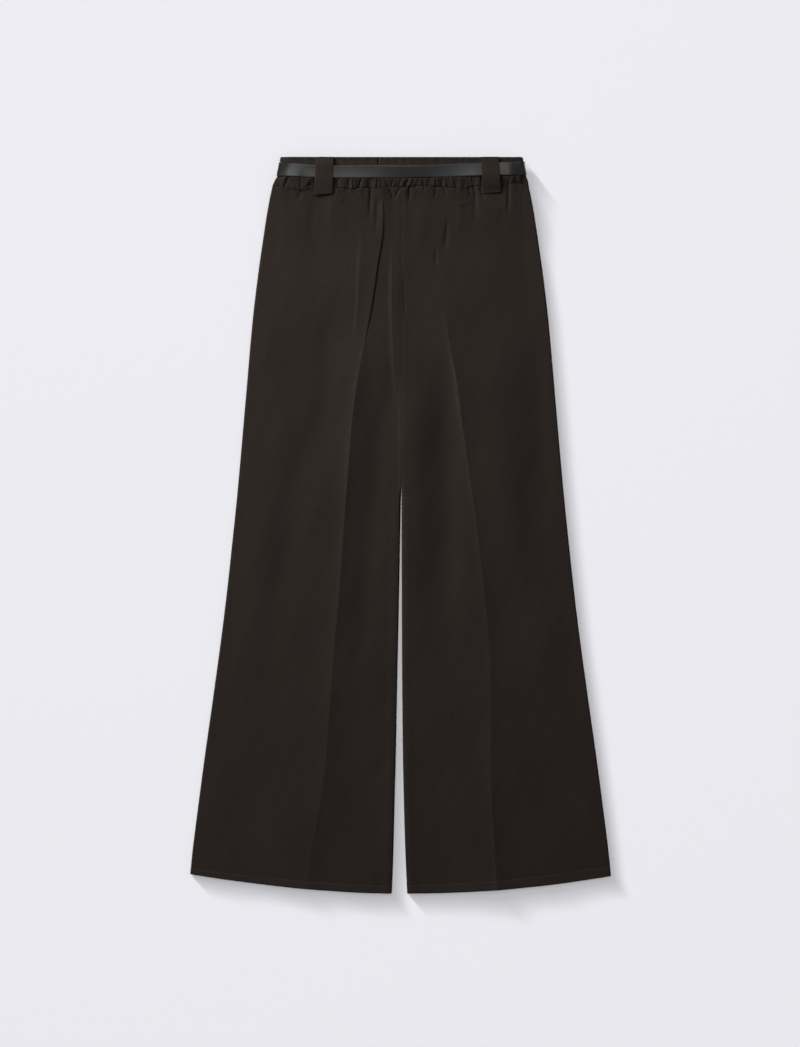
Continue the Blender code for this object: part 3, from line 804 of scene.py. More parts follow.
def panel_grid(side, at_back):
    """A leg panel's rows (hem first) by its columns (inner edge first), as named arrays.

    Across, it is an inner rolled edge, a field up to the crease with its columns closer
    towards it, a field beyond it and an outer rolled edge. The true drop follows the hem,
    inset is the distance from the inner edge, fall is how far a rolled edge has turned
    down, flat is 1 less its share, and clear is a smooth step in from the outer edge.
    """
    rows = [np.arange(start, end, step) for start, end, step in ROWS[at_back]]
    drop = np.concatenate(rows + [LENGTH / MM - np.array(HEM_ROWS)])[::-1, None] * MM
    inner_count, outer_count = COLUMNS[at_back]
    inner_share = 1 - crowded(1 - np.linspace(0, 1, inner_count), *INNER_CROWDING)
    outer_share = crowded(np.linspace(0, 1, outer_count)[1:], *OUTER_CROWDING)

    inner_angle = QUARTER_TURN * ramp(drop, *INSEAM_TURNS[at_back])
    inner_run, inner_fall = rolled_edge(inner_angle)
    outer_run, outer_fall = rolled_edge(np.full_like(drop, QUARTER_TURN))
    inner_edge = section("half_gap", drop) + side * section("gap_middle", drop)
    outer_edge = section("half_width", drop - hem_rise(drop, side))
    inner_start = inner_edge + inner_run[:, -1:]
    outer_start = outer_edge - outer_run[:, -1:]
    middle = side * crease(SIDES[side], drop)
    inner_field = inner_start + inner_share * (middle - inner_start)
    outer_field = middle + outer_share * (outer_start - middle)
    inner_roll, outer_roll = (inner_start - inner_run)[:, ::-1], outer_start + outer_run
    across = np.hstack([inner_roll, inner_field, outer_field, outer_roll])
    fall = np.hstack([inner_fall[:, ::-1], 0 * inner_field, 0 * outer_field, outer_fall])

    grid = SimpleNamespace(x=side * across, drop=drop, inset=across - inner_edge, fall=fall)
    grid.rolled = inner_angle / QUARTER_TURN
    grid.near_inner = 1 - ramp(across - inner_start, 0, EDGE_SOFTENING)
    grid.clear = ramp(outer_start - across, 0, EDGE_SOFTENING)
    grid.flat = 1 - fall / (EDGE_RADIUS + EDGE_TAIL)
    share = np.clip(grid.inset / (outer_edge - inner_edge), 0, 1)
    risen = hem_rise(drop, side) * share ** HEM_RISE_POWER[side]
    grid.true_drop = drop - risen - HEM_SHORT * ramp(drop, HEM_SHORT_STARTS, LENGTH)
    return grid


def back_relief(side, grid, crease_height):
    """The back's crease, folds, waves and swells, its seams' ridges and the sides' droop."""
    x, drop, inset = grid.x, grid.drop, grid.inset
    pressed = crease_relief(SIDES[side], x, drop, crease_height)
    relief = grid.clear * grid.flat * (
        pressed * ramp(inset, 0, CREASE_CLEARS)
        + fold_relief(BACK_FOLDS, x, grid.true_drop)
        + leg_waves(x, drop)
        + slow_unevenness(x, grid.true_drop) * ramp(drop, BAND_HEIGHT, SWELLS_FULL)
    )
    depth, width = CENTRE_GROOVE
    depth = depth * (1 - ramp(drop, *CENTRE_GROOVE_FADES))
    height, place, reach = CENTRE_RIDGE
    centre_seam = height * bell(inset - place, reach) - depth * bell(inset, width)
    height, place, reach = INSEAM_RIDGE
    inseam = height * bell(inset - place, reach) * grid.flat * ramp(drop, *INSEAM_RIDGE_COMES)
    droop = side_droop(x) * np.exp(-(drop - BAND_HEIGHT) / DROOP_FADES)
    relief = relief + (1 - grid.rolled) * centre_seam + grid.rolled * inseam
    return relief - droop + seam_raise(x, drop)


def front_relief(grid):
    """The front's folds, which give way to the gathers' waves where the waist is lifted."""
    lifted = lift(grid.drop) / WAIST_LIFT
    waves = FRONT_SHARE * lifted * leg_waves(grid.x + LEG_WAVE_PITCH / 2, grid.drop)
    folds = fold_relief(FRONT_FOLDS, grid.x, grid.true_drop) * (1 - lifted)
    return grid.clear * (1 - grid.rolled * grid.near_inner) * (folds + waves)


def leg_panel(side, at_back, settings):
    """(points of a leg panel's outer face, drops of its rows).

    Its height is the tube's, plus its relief, its gathers and waist seam, and its hem.
    """
    grid = panel_grid(side, at_back)
    x, drop, true_drop = grid.x, grid.drop, grid.true_drop
    gather = settings.gather_height * (1 if at_back else FRONT_GATHERS)
    gathers = leg_pinches(x, drop, at_back, gather)
    seam = from_side(x, drop) * (gathers - seam_dip(x, drop))
    hem = hem_relief(x, drop) * grid.flat
    lap = INNER_LAP * (1 - ramp(drop, *LAP_ENDS)) * np.exp(-grid.inset / LAP_REACH)
    if at_back:
        relief = back_relief(side, grid, settings.crease_height) + seam
        z = STACK + lift(drop) - grid.fall + relief + hem
        x = x + lap
        wander = seam_wander(x) * np.exp(-(drop - BAND_HEIGHT) / WANDER_REACH)
        true_drop = true_drop + wander
    else:
        relief = front_relief(grid) + seam
        z = lift(drop) + grid.fall - relief
        z = z - np.minimum(hem, 0) * ramp(drop, *HEM_HOLLOW_COMES)
        x = x - lap
    return np.stack([x, TOP_Y - true_drop, z], axis=-1), drop[:, 0]


def at_level(points, drop, level):
    """Points of a panel where its drop is the level: each column's, between its rows."""
    row = np.interp(level, drop[::-1], np.arange(len(drop))[::-1])
    low = np.clip(np.floor(row).astype(int), 0, len(drop) - 2)
    share = (row - low)[:, None]
    column = np.arange(points.shape[1])
    return points[low, column] * (1 - share) + points[low + 1, column] * share


def stitch_row(points, drop, at_back):
    """The hem stitches of a panel: short round threads along the stitch groove.

    Each is an ellipse of revolution stretched along the groove, whose length is measured on
    the cloth. The front's stay within the cloth, which lies on the ground.
    """
    groove = at_level(points, drop, LENGTH - hem_turn(points[0, :, 0]))
    length = running_length(groove)
    start = np.arange(STITCH_CLEARS, length[-1] - STITCH_CLEARS, STITCH_PITCH)[:, None, None]
    along_count, round_count = STITCH_POINTS
    along = np.linspace(-1, 1, along_count)[None, :, None]
    angle = TURN * np.arange(round_count)[None, None, :] / round_count
    place = start + along * STITCH_LENGTH / 2
    x, y, middle = (np.interp(place, length, groove[:, axis]) for axis in range(3))
    size = STITCH_RADIUS * np.sqrt(np.clip(1 - along**2, 0, 1))
    above = STITCH_RADIUS - column_at(STITCH_DEPTHS, "x", "depth", x)
    if at_back:
        centre = middle + above
    else:
        centre = np.maximum(middle - above, STITCH_RADIUS)
    return stacked(x, y + size * np.cos(angle), centre + size * np.sin(angle))


def cloth_lengths(points, middle_column):
    """(u, v) in metres: length along each row from one column, and down each column."""
    across = np.linalg.norm(np.diff(points, axis=1), axis=2)
    u = np.hstack([np.zeros((len(points), 1)), np.cumsum(across, axis=1)])
    down = np.linalg.norm(np.diff(points, axis=0), axis=2).mean(axis=1)
    v = np.concatenate([[0], np.cumsum(down)])[:, None]
    return stacked(u - u[:, middle_column : middle_column + 1], v)


# ---------------------------------------------------------------- the waist


def ring_straight(drop):
    """Half the straight stretch of the flattened waist, drawn in where the belt runs."""
    squeezed = BELT_SQUEEZE * pulse(drop, *BELT_SQUEEZE_DROPS)
    return section("half_width", drop) - squeezed - STACK / 2


def ring_place(quarter, drop):
    """(x of the middle, angle) round the flattened waist, where quarter runs 0 to 4.

    The four stretches are the back from left to right, the right side, the front from
    right to left and the left side: two straights joined by two half circles.
    """
    straight = ring_straight(drop)
    quarter = np.mod(quarter, 4)
    part = np.floor(quarter)
    t = quarter - part
    along = (2 * t - 1) * straight
    on_part = [part == 0, part == 1, part == 2]
    turned = [QUARTER_TURN + 0 * t, QUARTER_TURN - np.pi * t, -QUARTER_TURN + 0 * t]
    angle = np.select(on_part, turned, -QUARTER_TURN - np.pi * t)
    return np.select(on_part, [along, straight, -along], -straight), angle


def ring_point(quarter, drop, out):
    """Points a distance out from the band round the flattened waist."""
    centre, angle = ring_place(quarter, drop)
    radius = STACK / 2
    x = centre + (radius + out) * np.cos(angle)
    z = WAIST_LIFT + radius + (radius + out) * np.sin(angle)
    return stacked(x, TOP_Y - drop, z - side_droop(x) * (1 + np.sin(angle)) / 2)


def back_share(quarter, drop):
    """1 on the back, 0 on the front, and half the sine of the angle plus a half between."""
    return (1 + np.sin(ring_place(quarter, drop)[1])) / 2


def ring_stretch(counts, start, end):
    """Values from start to end, each quarter with its own count of even steps."""
    marks = [start] + [m for m in range(1, 9) if start < m < end] + [end]
    values = []
    for low, high in zip(marks[:-1], marks[1:]):
        count = max(2, round(counts[int(low) % 4] * (high - low)))
        values.append(np.linspace(low, high, count + 1)[:-1])
    return np.append(np.concatenate(values), end)


def rounded_strip(width, thickness, radius, steps, flat_steps):
    """Outline of a strip's section: (across, depth) round a rectangle with round corners."""
    turns = QUARTER_TURN * np.arange(4)[:, None] + np.linspace(0, QUARTER_TURN, steps)
    sides = np.array([[1], [-1], [-1], [1]]) * (width / 2 - radius)
    levels = np.array([[thickness - radius]] * 2 + [[radius]] * 2)
    arcs = stacked(sides + radius * np.cos(turns), levels + radius * np.sin(turns))
    share = np.linspace(0, 1, flat_steps + 2)[1:-1, None]
    faces = [arcs[i, -1] * (1 - share) + arcs[i + 1, 0] * share for i in (0, 2)]
    return np.concatenate([arcs[0], faces[0], arcs[1], arcs[2], faces[1], arcs[3]])


def bullnose(length_from_end, radius):
    """Share of a section's size near its end: the height of a circle, 0 at the end."""
    t = np.clip(length_from_end / radius, 0, 1)
    return np.sqrt(np.clip(1 - (1 - t) ** 2, 0, 1))


def strap_out(x, across, share):
    """How far the belt's inner face lies outside the band, across its width.

    At the back it grows with the height on the strap times the tangent of the lean, and the
    whole strap moves out so that its nearer edge stays on the band. The hollow is a
    parabola, and the roll of the upper edge is the square of the distance into it.
    """
    width = BELT_WIDTH + share * (strap("width", x) - BELT_WIDTH)
    lean = np.tan(np.radians(strap("lean", x, 1.0)) * share)
    standing = lean * across + np.sqrt(lean**2 + STRAP_SETTLING**2 * share) * width / 2
    standing = standing - STRAP_SETTLING * share * width / 2
    hollow = strap("cup", x) * share * (1 - np.clip(2 * across / width, -1, 1) ** 2)
    into = np.clip(across - (width / 2 - STRAP_ROLL), 0, STRAP_ROLL)
    roll = np.tan(np.radians(strap("roll", x, 1.0))) * share * into**2 / (2 * STRAP_ROLL)
    base = BELT_OUT_FRONT + share * (BELT_OUT_BACK - BELT_OUT_FRONT)
    return base + standing - hollow - roll + strap("stand", x) * share


def band_relief(x, drop, share_back, gather):
    """Height of the band's gathers: broad waves, and close pinches clear of the belt."""
    below_belt = drop - (strap("drop", x) + BELT_WIDTH / 2)
    fuller = ramp(drop, BAND_FULLER, BAND_HEIGHT)
    height = BAND_WAVE * (BAND_WAVE_TOP + (1 - BAND_WAVE_TOP) * fuller)
    waves = height * uneven_waves(x, BAND_WAVE_PITCH)
    free = ramp(below_belt, *FREE_OF_BELT)
    puffed = BAND_PUFF * ramp(below_belt, *PUFF_COMES) * (1 - near_loops(x, True))
    puffed = puffed * (1 - PUFF_FALL * np.clip(below_belt / PUFF_LENGTH, 0, 1))
    proud = TOP_PROUD * np.clip(1 - drop / TOP_PROUD_REACH, 0, 1) ** 2
    close = free * PINCH_BAND * gather * pinches(x, drop)
    height, pitch, start = RUFFLE
    ruffle = height * ramp(-drop, -RUFFLE_REACH, 0) * uneven_waves(x + start, pitch)
    back = waves + close * (1 - near_loops(x, True)) + ruffle + puffed + proud
    back = back + free * fold_relief(BAND_FOLDS, x, drop)
    front = BAND_WAVE_FRONT * waves + BAND_PINCH_FRONT * close * (1 - near_loops(x, False))
    return from_side(x, drop) * (front + share_back * (back - front) - seam_dip(x, drop))


def band_profile():
    """(drop, depth) up the band's outer face, over its folded top and down its inner face."""
    low = BAND_HEIGHT / MM - BAND_ABOVE_SEAM
    face = np.concatenate([np.arange(low, *BAND_CLOSE_ROWS), BAND_ROWS]) * MM
    inner = np.array([*BAND_INNER_ROWS, low]) * MM
    arc = np.linspace(0, np.pi, BAND_TOP_ROWS)
    over = BAND_THICKNESS / 2 * np.stack([1 - np.sin(arc), np.cos(arc) - 1], -1)
    return np.concatenate([stacked(face, 0.0), over, stacked(inner, -BAND_THICKNESS)])


def waistband(settings):
    """The band's closed section carried round the waist, its two ends rounded off."""
    straight = ring_straight(BAND_HEIGHT / 2)
    seam = (BAND_JOIN_X / straight + 1) / 2
    gap = SEAM / straight / 4
    quarter = ring_stretch(BAND_STEPS, seam + gap, 4 + seam - gap)
    start, end = quarter[0], quarter[-1]
    quarter = close_ends(quarter, BAND_END_ROWS / (2 * straight))[None, :]
    profile = band_profile()
    drop, depth = profile[:, :1], profile[:, 1:]
    radius = BAND_THICKNESS / 2

    middle_x = ring_place(quarter, drop)[0]
    share = back_share(quarter, drop)
    x = ring_point(quarter, drop, 0.0)[..., 0]
    end_length = np.minimum(quarter - start, end - quarter) * 2 * straight
    least, reach = BAND_NOSE
    nose = least + (1 - least) * bullnose(end_length, reach)
    height, reach = BAND_END_PINCH
    out = band_relief(x, drop, share, settings.gather_height)
    out = out - height * bell(end_length, reach) - radius + (depth + radius) * nose
    height, pitch, place, reach = FRILL
    frill = height * share * ramp(-drop, -RUFFLE_REACH, 0)
    frill = frill * np.maximum(0, wave(x, pitch) * bell(x - place, reach))
    low, high = TOP_SINKS
    sunk = (low + (high - low) * ramp(middle_x, *TOP_SINKS_X)) * share
    sunk = sunk * (1 - ramp(drop, 0, TOP_SINKS_TO))
    wander = seam_wander(middle_x) * share * ramp(drop, *BAND_WANDERS)
    moved = drop + sunk + frill + wander
    points = ring_point(quarter, moved, out)
    points[..., 0] += x - ring_point(quarter, moved, 0.0)[..., 0] + waist_shift(x, moved)
    return points, stacked(quarter * 2 * straight, running_length(profile)[:, None])


def belt_strap():
    """The strap's rounded section carried round the waist and closed at both ends."""
    straight = ring_straight(BELT_FRONT_DROP)
    end = BELT_GAP / 4 / straight
    quarter = ring_stretch(BELT_STEPS, FRONT_MIDDLE + end, FRONT_MIDDLE + 4 - end)
    start, stop = quarter[0], quarter[-1]
    quarter = close_ends(quarter, BELT_END_ROWS / (2 * straight))[None, :]
    outline = rounded_strip(BELT_WIDTH, BELT_THICKNESS, BELT_ROUNDING, steps=4, flat_steps=13)[::-1]
    across, depth = outline[:, :1], outline[:, 1:]
    nose = bullnose(np.minimum(quarter - start, stop - quarter) * 2 * straight, BELT_NOSE)
    depth = BELT_THICKNESS / 2 + (depth - BELT_THICKNESS / 2) * nose

    level = np.full_like(quarter, BELT_FRONT_DROP)
    x = ring_point(quarter, level, BELT_OUT_BACK)[..., 0]
    share = back_share(quarter, level)
    middle = BELT_FRONT_DROP + share * (strap("drop", x) - BELT_FRONT_DROP)
    placed = across * (1 + share * (strap("width", x) / BELT_WIDTH - 1))
    lean = np.radians(strap("lean", x, 1.0)) * share
    drop = middle - placed * np.cos(lean)
    points = ring_point(quarter, drop, strap_out(x, placed, share) + depth)
    points[..., 0] += waist_shift(points[..., 0], drop)
    return points, stacked(quarter * 2 * straight, across)


def loop_rows(loop):
    """Drops of a loop's rows, and how far outside the band its inner face lies there."""
    if loop.at_back:
        half = loop.width_low / 2
        x = np.linspace(loop.x_top - half, loop.x_low + half, LOOP_SAMPLES) * MM
        middle = strap("drop", x).mean()
        reach = strap("width", x).max() / 2
        upper, lower = (strap_out(x, end * reach, 1.0).max() for end in (1, -1))
    else:
        middle, reach = BELT_FRONT_DROP, BELT_WIDTH / 2
        upper = lower = BELT_OUT_FRONT
    top, low = middle - reach, middle + reach
    clear = BELT_THICKNESS + SEAM
    near = min(upper, lower)
    start = near + (upper + clear - near) * ramp(LOOP_RISE_STARTS, 0, top)
    drops = (LOOP_TOP, top - LOOP_SLACK, middle, low + LOOP_SLACK, BAND_HEIGHT)
    drops += (loop.length * MM - LOOP_TIP, loop.length * MM)
    outs = (start, upper + clear, (upper + lower) / 2 + clear, lower + clear)
    outs += ((lower + clear + LOOP_OUT) / 2, LOOP_OUT, LOOP_TIP_OUT)
    return np.array(drops), np.array(outs)


def belt_loop(loop):
    """A thin rounded strip carried over the belt along a smooth line and down to the leg."""
    drops, outs = loop_rows(loop)
    drop = close_ends(np.linspace(drops[0], drops[-1], LOOP_ROWS), LOOP_END_ROWS, count=6)[::-1]
    share = (drop / (loop.length * MM))[:, None]
    middle = (loop.x_top + share * (loop.x_low - loop.x_top)) * MM
    width = (loop.width_top + share * (loop.width_low - loop.width_top)) / loop.width_top
    outline = rounded_strip(
        loop.width_top * MM, LOOP_THICKNESS, LOOP_ROUNDING, steps=4, flat_steps=9
    )
    across, depth = outline[None, :, 0], outline[None, :, 1]
    crown = LOOP_CROWN * (1 - (2 * across / (loop.width_top * MM)) ** 2)
    nose = bullnose(np.minimum(drop - drop.min(), drop.max() - drop)[:, None], LOOP_NOSE)
    mid = LOOP_THICKNESS / 2
    depth = mid + (depth - mid) * nose + crown * nose

    height = lift(drop) + smooth_curve(drop, drops, outs)
    slope = np.gradient(height, drop)
    normal = np.stack([slope, np.ones_like(slope)], -1)
    normal /= np.linalg.norm(normal, axis=1, keepdims=True)
    aside = across * width * (1 - LOOP_NARROWS * (1 - nose))
    slant = LOOP_SLANT * across * share**3 if loop.at_back else 0
    y = TOP_Y - drop[:, None] - slant + depth * normal[:, :1]
    z = height[:, None] + depth * normal[:, 1:]
    if loop.at_back:
        points = stacked(middle + aside, y, STACK + z)
    else:
        points = stacked(middle - aside, y, 2 * lift(drop)[:, None] - z)
    return points, stacked(across, drop[:, None])


# ---------------------------------------------------------------- meshes


def sharpen_rim(mesh, rows, columns):
    """Marks the edges that run along the four sides of an open grid as sharp."""
    ends = np.empty(2 * len(mesh.edges), dtype=np.int32)
    mesh.edges.foreach_get("vertices", ends)
    row, column = (side.reshape(-1, 2) for side in np.divmod(ends, columns))
    sharp = np.zeros(len(mesh.edges), dtype=bool)
    for place, last in ((row, rows - 1), (column, columns - 1)):
        for level in (0, last):
            sharp |= (place == level).all(axis=1)
    attribute = mesh.attributes.new("sharp_edge", "BOOLEAN", "EDGE")
    attribute.data.foreach_set("value", sharp)


def add_painted_shade_mask(mesh, share):
    """Stores the share of painted shade at each point, which darkens the cloth's colour."""
    values = np.broadcast_to(np.ravel(share), len(mesh.vertices)).astype(np.float32)
    mesh.attributes.new("painted_shade_mask", "FLOAT", "POINT").data.foreach_set("value", values)


def mesh_from_grid(name, points, uv=None, around=False, across_closed=False):
    """A mesh of quads over a grid of points, or over a row of such grids.

    Each face joins a point to the next three, and closed grids join their last to first.
    """
    grids = points.reshape(-1, *points.shape[-3:])
    index = np.arange(grids[..., 0].size).reshape(grids.shape[:-1])
    if across_closed:
        index = np.concatenate([index, index[:, :, :1]], axis=2)
    if around:
        index = np.concatenate([index, index[:, :1]], axis=1)
    corners = (index[:, :-1, :-1], index[:, :-1, 1:], index[:, 1:, 1:], index[:, 1:, :-1])
    quads = np.stack(corners, -1).reshape(-1, 4).astype(np.int32)
    mesh = bpy.data.meshes.new(name)
    mesh.vertices.add(grids[..., 0].size)
    mesh.vertices.foreach_set("co", grids.reshape(-1).astype(np.float32))
    mesh.loops.add(quads.size)
    mesh.loops.foreach_set("vertex_index", quads.reshape(-1))
    mesh.polygons.add(len(quads))
    mesh.polygons.foreach_set("loop_start", np.arange(0, quads.size, 4, dtype=np.int32))
    mesh.polygons.foreach_set("loop_total", np.full(len(quads), 4, dtype=np.int32))
    if uv is not None:
        layer = mesh.uv_layers.new(name="cloth")
        layer.data.foreach_set("uv", uv.reshape(-1, 2)[quads.reshape(-1)].reshape(-1))
    mesh.update(calc_edges=True)
    mesh.validate()
    mesh.shade_smooth()
    return mesh


def piece_from_mesh(mesh, material, node):
    """A piece that rides on the body and takes the given material; it hides the node it stands for, if
    any.
    """
    obj = bpy.data.objects.new(mesh.name, mesh)
    bpy.context.scene.collection.objects.link(obj)
    mesh.materials.append(material)
    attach(obj, "root")
    if node:
        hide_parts(node)
    return obj


def merged(obj):
    """Joins the points of collapsed ends, fills open ones and turns faces outwards."""
    shape = bmesh.new()
    shape.from_mesh(obj.data)
    bmesh.ops.remove_doubles(shape, verts=shape.verts, dist=MERGE_DISTANCE)
    bmesh.ops.holes_fill(shape, edges=[e for e in shape.edges if e.is_boundary])
    bmesh.ops.recalc_face_normals(shape, faces=shape.faces)
    shape.to_mesh(obj.data)
    shape.free()
    obj.data.shade_smooth()


# ---------------------------------------------------------------- materials


def new_material(name):
    """(add, finish): add makes a node in a new material, and finish feeds its shader.

    Inputs are given by socket, each a constant or another node's output.
    """
    material = bpy.data.materials.new(name)
    material.use_nodes = True
    nodes, links = material.node_tree.nodes, material.node_tree.links

    def feed(node, inputs):
        """Link each input to the socket given for it, or set it to the constant given."""
        for name, value in inputs.items():
            if isinstance(value, bpy.types.NodeSocket):
                links.new(value, node.inputs[name])
            else:
                node.inputs[name].default_value = value

    def add(kind, output, inputs, **settings):
        """The named output of a new node."""
        node = nodes.new("ShaderNode" + kind)
        for name, value in settings.items():
            setattr(node, name, value)
        feed(node, inputs)
        return node.outputs[output]

    def finish(inputs, bump=None):
        """The material, its shader fed with the inputs and a bump (height, strength, depth)."""
        shader = nodes["Principled BSDF"]
        if bump:
            inputs["Normal"] = add(
                "Bump", "Normal", dict(zip(("Height", "Strength", "Distance"), bump))
            )
        feed(shader, inputs)
        return material

    return add, finish


def spread(add, value, low, high):
    """The value, of 0 to 1, brought to a range."""
    return add("MapRange", "Result", {"Value": value, "To Min": low, "To Max": high})


def maths(add, operation, *values):
    """The values joined by a sum of the Math node."""
    return add("Math", "Value", dict(enumerate(values)), operation=operation)


def blended(add, *parts):
    """The sum of values, each times its share."""
    total, *others = (maths(add, "MULTIPLY", value, share) for value, share in parts)
    for other in others:
        total = maths(add, "ADD", total, other)
    return total


def two_colours(add, share, first, second):
    """The first colour, going over to the second with the share."""
    inputs = {"Factor": share, "A": (*first, 1), "B": (*second, 1)}
    return add("Mix", "Result", inputs, data_type="RGBA")


def cloth_material(settings):
    """Heathered fine twill: two yarn colours mixed by streaks along warp and weft, darkened by painted
    shade where the mesh stores a share of it.
    """
    add, finish = new_material("trouser_cloth_twill")
    uv = add("UVMap", "UV", {}, uv_map="cloth")

    def streaks(per_metre_u, per_metre_v, detail=2):
        """Noise over the cloth, stretched by its two numbers of streaks to the metre."""
        stretched = {"Vector": uv, "Scale": (per_metre_u, per_metre_v, 1)}
        place = add("Mapping", "Vector", stretched)
        return add("TexNoise", "Fac", {"Vector": place, "Scale": 1, "Detail": detail})

    def ribs(direction, per_metre):
        """Bands across the cloth, so many to the metre."""
        scale = per_metre / WAVES_A_TURN * WAVE_TURN
        inputs = {"Vector": uv, "Scale": scale, "Distortion": 0}
        return add("TexWave", "Fac", inputs, wave_type="BANDS", bands_direction=direction)

    warp, weft, flecks = streaks(*WARP_STREAKS), streaks(*WEFT_STREAKS), streaks(*FLECKS)
    cloudy = maths(add, "SUBTRACT", streaks(*CLOUDS), 0.5)
    heather = blended(add, (warp, 0.45), (weft, 0.35), (flecks, 0.2), (cloudy, 0.12))
    colour = add("ValToRGB", "Color", {"Fac": heather})
    dark, light = colour.node.color_ramp.elements
    dark.position, dark.color = 0.32, (*settings.cloth_dark, 1)
    light.position, light.color = 0.68, (*settings.cloth_light, 1)
    # Painted shade: the stored share darkens the cloth's colour below the belt, round the waist seam
    # and on the loops
    gathered = add("Attribute", "Fac", {}, attribute_name="painted_shade_mask")
    shade = maths(add, "SUBTRACT", 1, maths(add, "MULTIPLY", gathered, PAINTED_SHADE_SHARE))
    mixed = {"Factor": 1, "A": colour, "B": shade}
    twill = ribs("DIAGONAL", settings.threads_per_metre)
    fine = ribs("X", settings.threads_per_metre * FINE_RIBS)
    relief = blended(add, (twill, 0.6), (fine, 0.4), (heather, 1.6))
    inputs = {
        "Base Color": add("Mix", "Result", mixed, data_type="RGBA", blend_type="MULTIPLY"),
        "Roughness": spread(add, heather, 0.72, 0.92),
        "Specular IOR Level": 0.06,
        "Sheen Weight": 0.02,
        "Sheen Roughness": 0.45,
        "Sheen Tint": (0.75, 0.66, 0.58, 1),
    }
    return finish(inputs, (relief, 0.35, 0.12 * MM))


def leather_material(settings):
    """Smooth coated leather: fine pores, faint cloudiness, and paler rubbed edges.

    It is duller where the belt turns under at each side.
    """
    add, finish = new_material("belt_leather_grain")
    uv = add("UVMap", "UV", {}, uv_map="cloth")

    def far_out(place, axis, start, end, high=1):
        """0 up to start along an axis, either way, and high after end."""
        part = add("SeparateXYZ", axis, {"Vector": place})
        inputs = {"Value": maths(add, "ABSOLUTE", part), "From Min": start, "From Max": end}
        return add("MapRange", "Result", {**inputs, "To Max": high})

    pores = {"Vector": uv, "Scale": 1500}
    grain = add("TexVoronoi", "Distance", pores, feature="DISTANCE_TO_EDGE")
    cloud = add("TexNoise", "Fac", {"Vector": uv, "Scale": 60, "Detail": 4})
    rubbed = far_out(uv, "Y", *(BELT_WIDTH / 2 - inset for inset in BELT_RUBBED))
    sides = far_out(add("TexCoord", "Object", {}), "X", *BELT_DULL_X, BELT_DULLER)
    inputs = {
        "Base Color": two_colours(add, rubbed, settings.belt_colour, settings.belt_edge_colour),
        "Roughness": maths(add, "ADD", spread(add, cloud, 0.26, 0.36), sides),
        "Specular IOR Level": 0.6,
    }
    return finish(inputs, (grain, 0.12, 0.06 * MM))


def metal_material(settings):
    """Dark brushed metal: streaks along x in its roughness and in a faint bump."""
    add, finish = new_material("buckle_metal_brushed")
    stretched = {"Vector": add("TexCoord", "Object", {}), "Scale": (60, 4200, 60)}
    place = add("Mapping", "Vector", stretched)
    streak = add("TexNoise", "Fac", {"Vector": place, "Scale": 1, "Detail": 3})
    inputs = {
        "Base Color": (*settings.metal_colour, 1),
        "Roughness": spread(add, streak, 0.26, 0.44),
        "Metallic": 1,
    }
    return finish(inputs, (streak, 0.1, 0.04 * MM))


def thread_material(settings):
    """Matt sewing thread: the grooves between its two plies are painted darker as shade, in fine
    slanting stripes.
    """
    add, finish = new_material("hem_thread")
    stripes = {"Vector": add("TexCoord", "Object", {}), "Scale": 900}
    plies = add("TexWave", "Fac", stripes, bands_direction="DIAGONAL")
    shaded = [PLY_SHADE * part for part in settings.thread_colour]
    inputs = {
        "Base Color": two_colours(add, plies, shaded, settings.thread_colour),
        "Roughness": 0.7,
        "Specular IOR Level": 0.2,
    }
    return finish(inputs, (plies, 0.3, 0.05 * MM))


def paper_material(settings):
    """Plain matt paper for the floor."""
    _, finish = new_material("floor_paper")
    colour = (*settings.floor_colour, 1)
    return finish({"Base Color": colour, "Roughness": 0.9, "Specular IOR Level": 0.1})


def trouser_cloth(context):
    """(settings, material) of the cloth, whose material is made once."""
    settings = context.scene.trousers_cloth
    material = bpy.data.materials.get("trouser_cloth_twill")
    return settings, material or cloth_material(settings)


# ---------------------------------------------------------------- light


def add_lamp(scene, name, kind, receivers, **settings):
    """A lamp that lights only its receivers, or everything if they are None."""
    lamp = bpy.data.lights.new(name, kind)
    for key, value in settings.items():
        setattr(lamp, key, value)
    obj = bpy.data.objects.new(name, lamp)
    if receivers:
        obj.light_linking.receiver_collection = receivers
    scene.collection.objects.link(obj)
    return obj


def soft_box(scene, name, place, size, level, receivers=None):
    """A square lamp that faces the origin and lights a surface turned to it there by level.

    Its power is level * pi squared * distance squared, as an area lamp spreads it.
    """
    place = Vector(place)
    power = level * np.pi**2 * place.length_squared
    obj = add_lamp(scene, name, "AREA", receivers, shape="SQUARE", size=size, energy=power)
    obj.rotation_mode = "QUATERNION"
    obj.location = place
    obj.rotation_quaternion = place.to_track_quat("Z", "Y")


# ---------------------------------------------------------------- settings


def colour_setting(name, description, default):
    """A colour setting."""
    return FloatVectorProperty(
        name=name, description=description, default=default, subtype="COLOR", size=3, min=0, max=1
    )


def number_setting(name, description, default, low, high, **kinds):
    """A number setting and its limits."""
    return FloatProperty(
        name=name, description=description, default=default, min=low, max=high, **kinds
    )


class TrousersClothSettings(bpy.types.PropertyGroup):
    """Colours and relief of the trouser cloth."""

    cloth_dark: colour_setting("Dark yarn", "Colour of the darker yarn", (0.0164, 0.0121, 0.0102))
    cloth_light: colour_setting("Light yarn", "Colour of the lighter yarn", (0.0247, 0.0183, 0.0155))
    thread_colour: colour_setting("Sewing thread", "Colour of the hem stitches", (0.05, 0.042, 0.037))
    threads_per_metre: number_setting(
        "Threads per metre", "How close the twill lines lie", 1700, 200, 4000
    )
    crease_height: number_setting(
        "Crease height", "Share of the pressed creases' full height", 1, 0, 1.3, subtype="FACTOR"
    )
    gather_height: number_setting(
        "Gather height", "Share of the close gathers' full height", 1, 0, 1.2, subtype="FACTOR"
    )
    cloth_thickness: number_setting(
        "Cloth thickness", "Of the cloth wall", 0.8 * MM, 0.4 * MM, 1.2 * MM, unit="LENGTH"
    )


